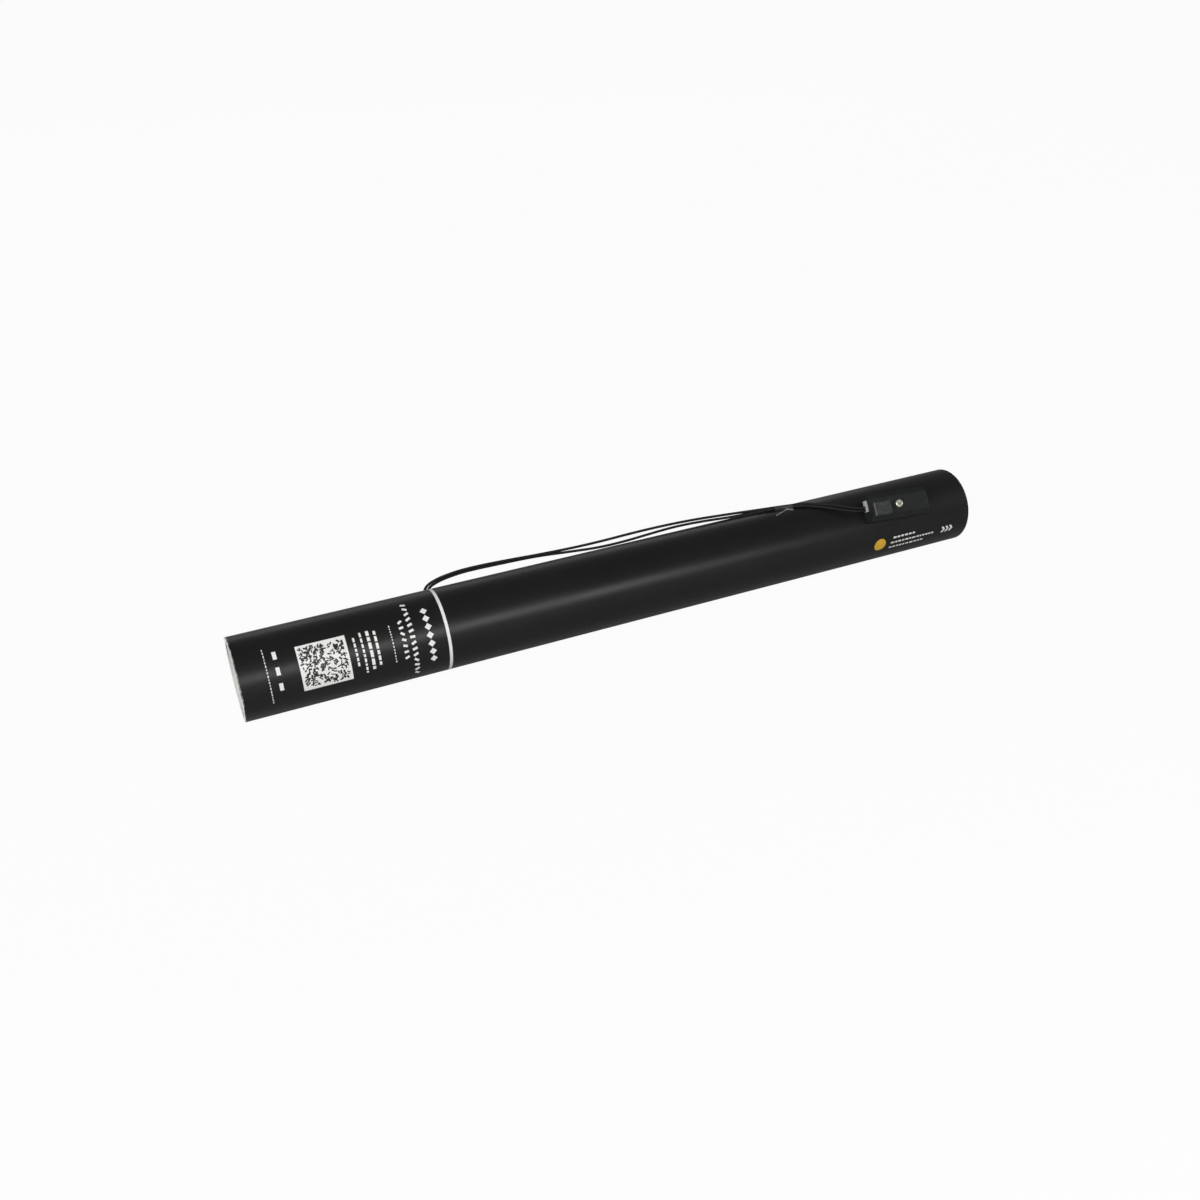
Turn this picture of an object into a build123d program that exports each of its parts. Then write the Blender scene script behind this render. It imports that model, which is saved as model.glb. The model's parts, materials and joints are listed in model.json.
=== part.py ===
"""Electrically fired confetti popper, in millimetres, +Z up.

It lies on the floor along X, with its base at -X and its muzzle at +X. The origin is on the floor under the
middle of the barrel. Stations are distances from the base, and angles go from the top of the barrel towards
its front, -Y.
"""
import os
from math import cos, pi, radians, sin, sqrt, tan

from build123d import *

os.makedirs("parts", exist_ok=True)

# Barrel
BARREL_LENGTH = 500.0
BARREL_RADIUS = 25.0
BARREL_WALL = 3.0

# Clearances
SEAT_CLEARANCE = 0.15
SLIDE_CLEARANCE = 0.4
RUN_CLEARANCE = 0.05
REST_GAP = 0.3
CUT_MARGIN = 1.0

# Base cap and the pad on it
CAP_RECESS = 3.0
CAP_FLOOR = 3.0
CAP_DEPTH = 12.0
CAP_SKIRT = 2.0
PAD_THICKNESS = 4.0
PAD_SIDE_GAP = 0.35

# Gas cylinder and its centring rings
CYLINDER_LENGTH = 67.5
CYLINDER_WALL = 1.4
CYLINDER_CORNER = 6.0
NECK_RADIUS = 8.0
NECK_BORE = 5.0
NECK_LENGTH = 8.0
RING_LENGTH = 10.0
RING_WALL = 4.2
RING_INSET = 8.0

# Valve
VALVE_RADIUS = 11.0
VALVE_HEIGHT = 12.0
NECK_SHOW = 2.0
SEAL_WIRE = 0.9
SEAL_SQUEEZE = 0.1
SEAT_BORE = 2.6
SEAT_LENGTH = 2.0
OUTLET_RADIUS = 5.0
GUIDE_LENGTH = 4.0
PORT_RADIUS = 1.5
PORT_COUNT = 4
FLANGE_THICKNESS = 2.0
FLANGE_RIM = 3.0
PIN_RADIUS = 1.9
POPPET_RADIUS = 4.2
POPPET_THICKNESS = 2.0
WASHER_THICKNESS = 0.8
PIN_SHOW = 3.0

# Release: housing, striker, spring and thread
HOUSING_WALL = 2.0
BULKHEAD = 3.0
SPRING_ROOM = 7.7
CHAMBER_HEIGHT = 11.0
COVER_THICKNESS = 2.5
VENT_RADIUS = 2.2
VENT_COUNT = 6
STRIKER_HEAD_RADIUS = 6.0
STRIKER_HEAD = 3.0
STRIKER_RADIUS = 3.0
STRIKER_TAIL = 3.0
SPRING_WIRE = 0.9
SPRING_TURNS = 4.5
THREAD_RADIUS = 0.5
HEATER_RADIUS = 1.2
HEATER_LENGTH = 6.5
HEATER_LEAD_RADIUS = 0.35
TAB_OFFSET = 8.0
TAB_WIDTH = 4.0
TAB_THICKNESS = 0.8
TAB_REACH = 7.5
BOSS_RADIUS = 2.8
BOSS_HEIGHT = 8.0
BOSS_COUNT = 3
COVER_SCREW_RADIUS = 1.2
COVER_SCREW_LENGTH = 8.0
COVER_SCREW_HEAD_RADIUS = 2.3
COVER_SCREW_HEAD = 1.4

# Charge
CHARGE_GAP = 2.5
WAD_THICKNESS = 5.0
LAYER_COUNT = 6
STACK_SIDE_ROOM = 4.8
STACK_GAP = 0.3
STACK_CORNER_GAP = 0.1
MUZZLE_DISC = 3.0
MUZZLE_RECESS = 28.4

# Wires, their bush and the tape
WIRE_RADIUS = 0.85
BEND_SHARE = 0.45
EXIT_ANGLE = -58.0
WIRE_SPACING = 1.86
BUSH_RADIUS = 3.4
BUSH_SLOT_RADIUS = 1.8
BUSH_FLANGE_RADIUS = 4.9
BUSH_FLANGE = 0.8
TAPE_STATION = 367.0
TAPE_ANGLE = -17.0
TAPE_WIDTH = 12.2
TAPE_SLANT = 25.0
TAPE_THICKNESS = 0.25
TAPE_LIFT = 2.15
TAPE_BACK_ANGLE = -76.0
TAPE_FRONT_ANGLE = 10.0
TAPE_FRONT_REACH = 7.0
TENT_ANGLES = (-34.0, -24.0, -5.0, -0.5)

# Plug
PLUG_STATION = 441.5
PLUG_FACE_ANGLE = 50.0
PLUG_OFFSET = 5.2
PLUG_SKEW = 3.7
PLUG_HALF = 25.0
PLUG_WIDTH = 18.5
PLUG_BASE_HEIGHT = 4.0
PLUG_COVER_HEIGHT = 5.0
PLUG_BODY_LENGTH = 30.5
BEVEL_WIDTH = 3.5
BEVEL_DROP = 2.2
BLOCK_INSET = 1.5
BLOCK_SHIFT = 1.5
BLOCK_LENGTH = 13.1
BLOCK_WIDTH = 9.3
BLOCK_HEIGHT = 2.8
BLOCK_EDGE = 0.6
PLUG_SCREW_STATION = 21.9
PLUG_SCREW_RADIUS = 1.45
PLUG_SCREW_HEAD_RADIUS = 2.7
PLUG_SCREW_HEAD = 1.5
SCREW_SLOT_WIDTH = 0.7
SCREW_SLOT_DEPTH = 0.7
SCREW_SLOT_TURN = 35.0
NUT_FLAT = 5.5
NUT_THICKNESS = 2.4
BLADE_SPACING = 12.7
BLADE_THICKNESS = 1.5
BLADE_HEIGHT = 6.0
BLADE_LENGTH = 13.5
BLADE_ROOT = 7.0
GUARD_WALL = 1.4
GUARD_EDGE = 0.5
GRIP_WIDTH = 7.6
GRIP_SHIFT = 2.0
GRIP_HEIGHT = 3.0
GRIP_SHOW = 1.4
GRIP_ROOT = 5.0
PLUG_WIRE_SHIFT = 0.55
PLUG_WIRE_SPACING = 1.9
GRIP_APPROACH = 6.0

# Values worked out from the sizes above
AXIS_HEIGHT = BARREL_RADIUS
BORE_RADIUS = BARREL_RADIUS - BARREL_WALL
SEAT_RADIUS = BORE_RADIUS - SEAT_CLEARANCE
CHARGE_RADIUS = BORE_RADIUS - SLIDE_CLEARANCE
CYLINDER_RADIUS = SEAT_RADIUS - RING_WALL - SEAT_CLEARANCE
AXIS = Axis((0, 0, AXIS_HEIGHT), (1, 0, 0))

PAD_START = CAP_RECESS + CAP_FLOOR
CYLINDER_START = PAD_START + PAD_THICKNESS
SHOULDER = CYLINDER_START + CYLINDER_LENGTH
NECK_TOP = SHOULDER + NECK_LENGTH
SEAL_ROOM = SEAL_WIRE + SEAL_SQUEEZE
SEAT_FACE = NECK_TOP + SEAL_ROOM
VALVE_TOP = SEAT_FACE + VALVE_HEIGHT
PIN_TOP = VALVE_TOP + PIN_SHOW
HOUSING_START = VALVE_TOP - BULKHEAD
FLANGE_RADIUS = VALVE_RADIUS + FLANGE_RIM
HEAD_START = PIN_TOP + REST_GAP
HEAD_TOP = HEAD_START + STRIKER_HEAD
GUIDE_START = HEAD_TOP + SPRING_ROOM
CHAMBER_START = GUIDE_START + BULKHEAD
EXIT_STATION = CHAMBER_START + CHAMBER_HEIGHT / 2
COVER_START = CHAMBER_START + CHAMBER_HEIGHT
COVER_TOP = COVER_START + COVER_THICKNESS
STRIKER_END = CHAMBER_START + STRIKER_TAIL
HOUSING_INNER = SEAT_RADIUS - HOUSING_WALL
WAD_START = COVER_TOP + CHARGE_GAP
STACK_START = WAD_START + WAD_THICKNESS + STACK_GAP
DISC_START = BARREL_LENGTH - MUZZLE_RECESS - MUZZLE_DISC
LAYER_PITCH = (DISC_START - STACK_START) / LAYER_COUNT
SLIP_LENGTH = LAYER_PITCH - STACK_GAP
SLIP_WIDTH = CHARGE_RADIUS - STACK_SIDE_ROOM
STACK_HALF_HEIGHT = sqrt((CHARGE_RADIUS - STACK_CORNER_GAP) ** 2 - (SLIP_WIDTH + STACK_GAP / 2) ** 2)
PLUG_HEIGHT = PLUG_BASE_HEIGHT + PLUG_COVER_HEIGHT
GUARD_END = PLUG_BODY_LENGTH + BLADE_LENGTH + SEAT_CLEARANCE + GUARD_WALL


def place(station):
    """X of a station on the barrel."""
    return station - BARREL_LENGTH / 2


def polar(station, angle, radius):
    """A point at a station, an angle from the top towards the front and a radius from the barrel's axis."""
    turn = radians(angle)
    return Vector(place(station), -radius * sin(turn), AXIS_HEIGHT + radius * cos(turn))


def outward(angle):
    """The direction away from the barrel's axis at an angle."""
    turn = radians(angle)
    return Vector(0, -sin(turn), cos(turn))


def across(angle):
    """The direction round the barrel, towards growing angles."""
    turn = radians(angle)
    return Vector(0, -cos(turn), -sin(turn))


def rod(radius, start, end, centre=(0, 0)):
    """A cylinder along the barrel, its centre given as (y, z) from the barrel's axis."""
    y, z = centre
    plane = Plane((place(start), y, AXIS_HEIGHT + z), z_dir=(1, 0, 0))
    return plane.location * Cylinder(radius, end - start, align=(Align.CENTER, Align.CENTER, Align.MIN))


def pipe(outer, inner, start, end):
    """A tube along the barrel's axis."""
    return rod(outer, start, end) - rod(inner, start - CUT_MARGIN, end + CUT_MARGIN)


def turned(*profile):
    """A solid turned about the barrel's axis from (station, radius) points."""
    points = [(place(station), 0, AXIS_HEIGHT + radius) for station, radius in profile]
    return revolve(make_face(Polyline(*points, close=True)), axis=AXIS)


def ring_of(count, radius, first_angle=0.0):
    """(y, z) centres of a ring of features about the barrel's axis."""
    turns = [first_angle + 360 * k / count for k in range(count)]
    return [(radius * outward(turn).Y, radius * outward(turn).Z) for turn in turns]


def radial_plane(station, angle):
    """A plane on the barrel's axis, its normal outwards at an angle and its X along the barrel."""
    return Plane((place(station), 0, AXIS_HEIGHT), x_dir=(1, 0, 0), z_dir=tuple(outward(angle)))


def upright(radius, low, high, x=0.0, y=0.0):
    """A cylinder along a plane's own normal."""
    return Pos(x, y, low) * Cylinder(radius, high - low, align=(Align.CENTER, Align.CENTER, Align.MIN))


def block(low, high):
    """A box between two corners."""
    size = [b - a for a, b in zip(low, high)]
    return Pos(*low) * Box(*size, align=(Align.MIN, Align.MIN, Align.MIN))


def biarc(start, start_dir, end, end_dir):
    """Two tangent arcs from one point and direction to another."""
    chord = end - start
    both = start_dir + end_dir
    spread = 2 * (1 - start_dir.dot(end_dir))
    reach = chord.dot(both)
    step = (sqrt(reach * reach + spread * chord.dot(chord)) - reach) / spread
    middle = (start + end + (start_dir - end_dir) * step) / 2
    middle_dir = (end - end_dir * step) - (start + start_dir * step)
    return [TangentArc(start, middle, tangent=start_dir), TangentArc(middle, end, tangent=middle_dir)]


def coil(wire_radius, mean_radius, start, end, turns):
    """A compression spring about the barrel's axis, swept in quarter turns."""
    steps = round(turns * 4)
    rise = (end - start) / steps
    points = [polar(start + rise * k, 90 * k, mean_radius) for k in range(steps + 1)]
    quarter = mean_radius * pi / 2
    headings = [(across(90 * k) * quarter + Vector(rise, 0, 0)).normalized() for k in range(steps + 1)]
    edges = []
    for k in range(steps):
        edges += biarc(points[k], headings[k], points[k + 1], headings[k + 1])
    path = Wire(edges)
    section = Plane(points[0], z_dir=tuple(headings[0])) * Circle(wire_radius)
    print(f"spring: gap between turns {rise * 4 - 2 * wire_radius:.2f} mm")
    return sweep(section, path=path)


def wire_tube(name, points, radius):
    """A wire along its route: straight runs joined by arcs as large as the runs allow."""
    runs = [(b - a).length for a, b in zip(points, points[1:])]
    bends = []
    for k in range(1, len(points) - 1):
        turn = (points[k] - points[k - 1]).get_angle(points[k + 1] - points[k])
        bends.append(BEND_SHARE * min(runs[k - 1], runs[k]) / tan(radians(turn) / 2))
    path = FilletPolyline(*points, radius=bends)
    tube = sweep(Plane(points[0], z_dir=tuple(path % 0)) * Circle(radius), path=path)
    ideal = pi * radius**2 * path.length
    print(f"{name}: length {path.length:.1f} mm, least radius {min(bends):.1f} mm, runs {min(runs):.1f}"
          f" to {max(runs):.1f} mm, volume {tube.volume / ideal:.4f} of section times length")
    return tube


# Barrel and base
def make_barrel():
    wall = pipe(BARREL_RADIUS, BORE_RADIUS, 0, BARREL_LENGTH)
    hole = radial_plane(EXIT_STATION, EXIT_ANGLE) * upright(BUSH_RADIUS + SEAT_CLEARANCE, BORE_RADIUS / 2,
                                                           BARREL_RADIUS * 2)
    return wall - hole


def make_base_cap():
    cup = rod(SEAT_RADIUS, CAP_RECESS, CAP_RECESS + CAP_DEPTH)
    return cup - rod(SEAT_RADIUS - CAP_SKIRT, PAD_START, CAP_RECESS + CAP_DEPTH + CUT_MARGIN)


def make_pad():
    return rod(SEAT_RADIUS - CAP_SKIRT - PAD_SIDE_GAP, PAD_START, CYLINDER_START)


# Gas cylinder and valve
def make_gas_cylinder():
    shell = rod(CYLINDER_RADIUS, CYLINDER_START, SHOULDER)
    shell = fillet(shell.edges().filter_by(GeomType.CIRCLE), CYLINDER_CORNER)
    hollow = rod(CYLINDER_RADIUS - CYLINDER_WALL, CYLINDER_START + CYLINDER_WALL, SHOULDER - CYLINDER_WALL)
    hollow = fillet(hollow.edges().filter_by(GeomType.CIRCLE), CYLINDER_CORNER - CYLINDER_WALL)
    neck = rod(NECK_RADIUS, SHOULDER - CYLINDER_WALL, NECK_TOP)
    bore = rod(NECK_BORE, SHOULDER - CYLINDER_WALL - CUT_MARGIN, NECK_TOP + CUT_MARGIN)
    return shell + neck - hollow - bore


def make_centring_ring(start):
    return pipe(SEAT_RADIUS, CYLINDER_RADIUS + SEAT_CLEARANCE, start, start + RING_LENGTH)


def make_valve_body():
    outlet_end = VALVE_TOP - GUIDE_LENGTH
    body = turned(
        (SHOULDER + NECK_SHOW, NECK_RADIUS + SEAT_CLEARANCE),
        (SHOULDER + NECK_SHOW, VALVE_RADIUS),
        (HOUSING_START - FLANGE_THICKNESS, VALVE_RADIUS),
        (HOUSING_START - FLANGE_THICKNESS, FLANGE_RADIUS),
        (HOUSING_START, FLANGE_RADIUS),
        (HOUSING_START, VALVE_RADIUS),
        (VALVE_TOP, VALVE_RADIUS),
        (VALVE_TOP, PIN_RADIUS + RUN_CLEARANCE),
        (outlet_end, PIN_RADIUS + RUN_CLEARANCE),
        (outlet_end, OUTLET_RADIUS),
        (SEAT_FACE + SEAT_LENGTH, OUTLET_RADIUS),
        (SEAT_FACE + SEAT_LENGTH, SEAT_BORE),
        (SEAT_FACE, SEAT_BORE),
        (SEAT_FACE, NECK_RADIUS + SEAT_CLEARANCE),
    )
    port_station = SEAT_FACE + SEAT_LENGTH + PORT_RADIUS + SEAT_CLEARANCE
    for k in range(PORT_COUNT):
        port = upright(PORT_RADIUS, (SEAT_BORE + OUTLET_RADIUS) / 2, VALVE_RADIUS * 2)
        body -= radial_plane(port_station, 360 * k / PORT_COUNT) * port
    return body


def make_valve_seal():
    middle = (NECK_BORE + NECK_RADIUS) / 2
    plane = Plane((place(NECK_TOP + SEAL_ROOM / 2), 0, AXIS_HEIGHT), z_dir=(1, 0, 0))
    return plane.location * Torus(middle, SEAL_WIRE / 2)


def make_valve_pin():
    washer_start = SEAT_FACE - RUN_CLEARANCE - WASHER_THICKNESS
    head = rod(POPPET_RADIUS, washer_start - POPPET_THICKNESS, washer_start)
    return head + rod(PIN_RADIUS, washer_start - POPPET_THICKNESS / 2, PIN_TOP)


def make_poppet_washer():
    end = SEAT_FACE - RUN_CLEARANCE
    return pipe(POPPET_RADIUS, PIN_RADIUS + RUN_CLEARANCE, end - WASHER_THICKNESS, end)


# Release
BOSS_RING = HOUSING_INNER - BOSS_RADIUS / 2
VENT_RING = (FLANGE_RADIUS + HOUSING_INNER) / 2
BOSS_FIRST_ANGLE = EXIT_ANGLE + 180 / BOSS_COUNT


def make_trigger_housing():
    wall_middle = SEAT_RADIUS - HOUSING_WALL / 2
    housing = pipe(SEAT_RADIUS, HOUSING_INNER, HOUSING_START, COVER_START)
    housing += pipe(wall_middle, VALVE_RADIUS + SEAT_CLEARANCE, HOUSING_START, VALVE_TOP)
    housing += pipe(wall_middle, STRIKER_RADIUS + RUN_CLEARANCE, GUIDE_START, CHAMBER_START)
    for centre in ring_of(VENT_COUNT, VENT_RING):
        housing -= rod(VENT_RADIUS, HOUSING_START - CUT_MARGIN, CHAMBER_START + CUT_MARGIN, centre)
    bore = rod(wall_middle, COVER_START - BOSS_HEIGHT, COVER_START)
    for centre in ring_of(BOSS_COUNT, BOSS_RING, BOSS_FIRST_ANGLE):
        boss = rod(BOSS_RADIUS, COVER_START - BOSS_HEIGHT, COVER_START, centre)
        housing += boss & bore
    for centre in ring_of(BOSS_COUNT, BOSS_RING, BOSS_FIRST_ANGLE):
        thread_end = COVER_TOP - COVER_SCREW_LENGTH - CUT_MARGIN
        housing -= rod(COVER_SCREW_RADIUS + RUN_CLEARANCE, thread_end, COVER_START + CUT_MARGIN, centre)
    bush_room = upright(BUSH_RADIUS + SEAT_CLEARANCE, HOUSING_INNER / 2, BARREL_RADIUS)
    return housing - radial_plane(EXIT_STATION, EXIT_ANGLE) * bush_room


def make_housing_cover():
    cover = rod(SEAT_RADIUS, COVER_START, COVER_TOP)
    holes = [(VENT_RADIUS, centre) for centre in ring_of(VENT_COUNT, VENT_RING, EXIT_ANGLE + 90 / VENT_COUNT)]
    for centre in ring_of(BOSS_COUNT, BOSS_RING, BOSS_FIRST_ANGLE):
        holes.append((COVER_SCREW_RADIUS + SEAT_CLEARANCE, centre))
    for radius, centre in holes:
        cover -= rod(radius, COVER_START - CUT_MARGIN, COVER_TOP + CUT_MARGIN, centre)
    return cover


def make_cover_screws():
    screws = []
    for centre in ring_of(BOSS_COUNT, BOSS_RING, BOSS_FIRST_ANGLE):
        shank = rod(COVER_SCREW_RADIUS, COVER_TOP - COVER_SCREW_LENGTH, COVER_TOP, centre)
        head = rod(COVER_SCREW_HEAD_RADIUS, COVER_TOP, COVER_TOP + COVER_SCREW_HEAD, centre)
        slot = Pos(place(COVER_TOP + COVER_SCREW_HEAD), centre[0], AXIS_HEIGHT + centre[1]) * Box(
            2 * SCREW_SLOT_DEPTH, 3 * COVER_SCREW_HEAD_RADIUS, SCREW_SLOT_WIDTH)
        screws.append(shank + head - slot)
    return Compound(screws)


def make_striker():
    return rod(STRIKER_HEAD_RADIUS, HEAD_START, HEAD_TOP) + rod(STRIKER_RADIUS, HEAD_START, STRIKER_END)


def make_striker_spring():
    mean = (STRIKER_RADIUS + STRIKER_HEAD_RADIUS) / 2
    inset = SPRING_WIRE / 2 + SEAT_CLEARANCE
    return coil(SPRING_WIRE / 2, mean, HEAD_TOP + inset, GUIDE_START - inset, SPRING_TURNS)


def make_thread_halves():
    gap = SEAT_CLEARANCE / 2
    striker_half = rod(THREAD_RADIUS, STRIKER_END, EXIT_STATION - gap)
    anchor_half = rod(THREAD_RADIUS, EXIT_STATION + gap, COVER_START)
    return striker_half, anchor_half


HEATER_DEPTH = -(THREAD_RADIUS + HEATER_RADIUS + SEAT_CLEARANCE)


def exit_frame_rod(radius, low, high):
    """A cylinder round the barrel's way, centred on the heater's line, in the plane of the wires' exit."""
    plane = Plane(
        Vector(place(EXIT_STATION), 0, AXIS_HEIGHT) + outward(EXIT_ANGLE) * HEATER_DEPTH,
        z_dir=tuple(across(EXIT_ANGLE)),
    )
    return plane.location * upright(radius, low, high)


def make_heater():
    half = HEATER_LENGTH / 2
    reach = TAB_OFFSET - TAB_WIDTH / 2
    body = exit_frame_rod(HEATER_RADIUS, -half, half)
    return body + exit_frame_rod(HEATER_LEAD_RADIUS, -reach, reach)


def make_terminal_tabs():
    plane = Plane(
        Vector(place(COVER_START), 0, AXIS_HEIGHT) + outward(EXIT_ANGLE) * HEATER_DEPTH,
        x_dir=(-1, 0, 0),
        z_dir=tuple(outward(EXIT_ANGLE)),
    )
    tabs = []
    for side in (-1, 1):
        tab = Pos(0, side * TAB_OFFSET, 0) * Box(TAB_REACH, TAB_WIDTH, TAB_THICKNESS,
                                                 align=(Align.MIN, Align.CENTER, Align.CENTER))
        tabs.append(plane.location * tab)
    return Compound(tabs)


# Charge
def make_wad():
    return rod(CHARGE_RADIUS, WAD_START, WAD_START + WAD_THICKNESS)


def make_confetti_layer(start):
    """Two full stacks of slips side by side, and a thin stack over and under them where the bore curves."""
    end = start + SLIP_LENGTH
    half_gap = STACK_GAP / 2
    side_low = STACK_HALF_HEIGHT + STACK_GAP
    side_high = sqrt(CHARGE_RADIUS**2 - (SLIP_WIDTH / 2) ** 2) - STACK_GAP
    boxes = [
        ((half_gap, -STACK_HALF_HEIGHT), (half_gap + SLIP_WIDTH, STACK_HALF_HEIGHT)),
        ((-half_gap - SLIP_WIDTH, -STACK_HALF_HEIGHT), (-half_gap, STACK_HALF_HEIGHT)),
        ((-SLIP_WIDTH / 2, side_low), (SLIP_WIDTH / 2, side_high)),
        ((-SLIP_WIDTH / 2, -side_high), (SLIP_WIDTH / 2, -side_low)),
    ]
    stacks = []
    for (y0, z0), (y1, z1) in boxes:
        stacks.append(block((place(start), y0, AXIS_HEIGHT + z0), (place(end), y1, AXIS_HEIGHT + z1)))
    return Compound(stacks)


def make_muzzle_disc():
    return rod(CHARGE_RADIUS, DISC_START, DISC_START + MUZZLE_DISC)


# Plug, in its own frame: X from the cord end to the blades, Y up the barrel, Z away from the barrel
PLUG_NORMAL = outward(PLUG_FACE_ANGLE)
PLUG_ALONG = Vector(1, 0, 0) * cos(radians(PLUG_SKEW)) + across(PLUG_FACE_ANGLE) * sin(radians(PLUG_SKEW))
PLUG_FRAME = Plane(
    Vector(place(PLUG_STATION), 0, AXIS_HEIGHT)
    + PLUG_NORMAL * (BARREL_RADIUS + REST_GAP)
    - across(PLUG_FACE_ANGLE) * PLUG_OFFSET
    - PLUG_ALONG * PLUG_HALF,
    x_dir=tuple(PLUG_ALONG),
    z_dir=tuple(PLUG_NORMAL),
)
WIRE_HEIGHT = PLUG_HEIGHT / 2


def plug_bar(start, end, low):
    """A length of the plug's section, flat under and bevelled along the top, from one height up."""
    half = PLUG_WIDTH / 2
    profile = Polyline(
        (start, -half, low), (start, half, low), (start, half, PLUG_HEIGHT - BEVEL_DROP),
        (start, half - BEVEL_WIDTH, PLUG_HEIGHT), (start, BEVEL_WIDTH - half, PLUG_HEIGHT),
        (start, -half, PLUG_HEIGHT - BEVEL_DROP), close=True)
    return extrude(make_face(profile), amount=end - start, dir=(1, 0, 0))


def blade_bars(start, end, grow):
    """The two blades, or their room when they are grown by a clearance."""
    bars = []
    for side in (-1, 1):
        y = side * BLADE_SPACING / 2
        z = PLUG_HEIGHT / 2
        low = (start, y - BLADE_THICKNESS / 2 - grow, z - BLADE_HEIGHT / 2 - grow)
        high = (end, y + BLADE_THICKNESS / 2 + grow, z + BLADE_HEIGHT / 2 + grow)
        bars.append(block(low, high))
    return bars


def wire_side(side):
    """How far up the plug a wire enters it."""
    return PLUG_WIRE_SHIFT + side * PLUG_WIRE_SPACING / 2


def tail_rods(radius):
    """The wire ends inside the plug, cut flush with the grip and the blades."""
    blade_start = PLUG_BODY_LENGTH - BLADE_ROOT
    half = PLUG_WIDTH / 2
    between = block((GRIP_ROOT, -half, 0), (blade_start, half, PLUG_HEIGHT))
    rods = []
    for side in (-1, 1):
        start = Vector(GRIP_ROOT, wire_side(side), WIRE_HEIGHT)
        end = Vector(blade_start, side * BLADE_SPACING / 2, WIRE_HEIGHT)
        length = (end - start).length
        line = Plane(start, z_dir=tuple(end - start)).location * upright(radius, -radius, length + radius)
        rods.append(line & between)
    return rods


def grip_box(grow):
    """The grip on the wires, or its room when it is grown by a clearance."""
    half = GRIP_WIDTH / 2 + grow
    low = (-GRIP_SHOW, GRIP_SHIFT - half, WIRE_HEIGHT - GRIP_HEIGHT / 2 - grow)
    return block(low, (GRIP_ROOT + grow, GRIP_SHIFT + half, WIRE_HEIGHT + GRIP_HEIGHT / 2 + grow))


def screw_hole(clearance, height):
    """A hole for the plug's screw, up to a height."""
    return upright(PLUG_SCREW_RADIUS + clearance, -CUT_MARGIN, height + CUT_MARGIN, PLUG_SCREW_STATION)


def plug_rooms():
    """What the two halves of the plug leave free inside."""
    root = PLUG_BODY_LENGTH - BLADE_ROOT
    rooms = blade_bars(root - SEAT_CLEARANCE, PLUG_BODY_LENGTH + CUT_MARGIN, SEAT_CLEARANCE)
    rooms += tail_rods(WIRE_RADIUS + SEAT_CLEARANCE)
    rooms.append(grip_box(SEAT_CLEARANCE))
    rooms.append(screw_hole(SEAT_CLEARANCE, PLUG_HEIGHT))
    return rooms


def nut_prism(grow):
    radius = (NUT_FLAT / 2 + grow) / cos(pi / 6)
    prism = extrude(RegularPolygon(radius, 6), amount=NUT_THICKNESS + grow)
    return Pos(PLUG_SCREW_STATION, 0, 0) * prism


def make_plug_base():
    base = block((0, -PLUG_WIDTH / 2, 0), (PLUG_BODY_LENGTH, PLUG_WIDTH / 2, PLUG_BASE_HEIGHT))
    for room in plug_rooms():
        base -= room
    return base - nut_prism(SEAT_CLEARANCE)


def make_plug_cover():
    cover = plug_bar(0, PLUG_BODY_LENGTH, PLUG_BASE_HEIGHT + RUN_CLEARANCE)
    half = BLOCK_WIDTH / 2
    top = PLUG_HEIGHT + BLOCK_HEIGHT
    low = (BLOCK_INSET, -BLOCK_SHIFT - half, PLUG_HEIGHT - CUT_MARGIN)
    raised = block(low, (BLOCK_INSET + BLOCK_LENGTH, half - BLOCK_SHIFT, top))
    raised = chamfer(raised.faces().sort_by(Axis.Z)[-1].edges(), BLOCK_EDGE)
    for room in plug_rooms():
        cover -= room
    return cover + raised


def make_plug_screw():
    shank = upright(PLUG_SCREW_RADIUS, RUN_CLEARANCE, PLUG_HEIGHT)
    head = upright(PLUG_SCREW_HEAD_RADIUS, PLUG_HEIGHT, PLUG_HEIGHT + PLUG_SCREW_HEAD)
    head = fillet(head.faces().sort_by(Axis.Z)[-1].edges(), PLUG_SCREW_HEAD / 2)
    slot = Pos(0, 0, PLUG_HEIGHT + PLUG_SCREW_HEAD) * Box(
        3 * PLUG_SCREW_HEAD_RADIUS, SCREW_SLOT_WIDTH, 2 * SCREW_SLOT_DEPTH)
    return Pos(PLUG_SCREW_STATION, 0, 0) * (shank + head - Rot(0, 0, SCREW_SLOT_TURN) * slot)


def make_plug_nut():
    return nut_prism(0) - screw_hole(RUN_CLEARANCE, NUT_THICKNESS)


def make_blade_guard():
    start = PLUG_BODY_LENGTH + SEAT_CLEARANCE
    guard = plug_bar(start, GUARD_END, 0)
    far_edges = guard.faces().sort_by(Axis.X)[-1].edges()
    guard = chamfer(far_edges, GUARD_EDGE)
    for room in blade_bars(start - CUT_MARGIN, GUARD_END - GUARD_WALL, SEAT_CLEARANCE):
        guard -= room
    return guard


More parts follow.
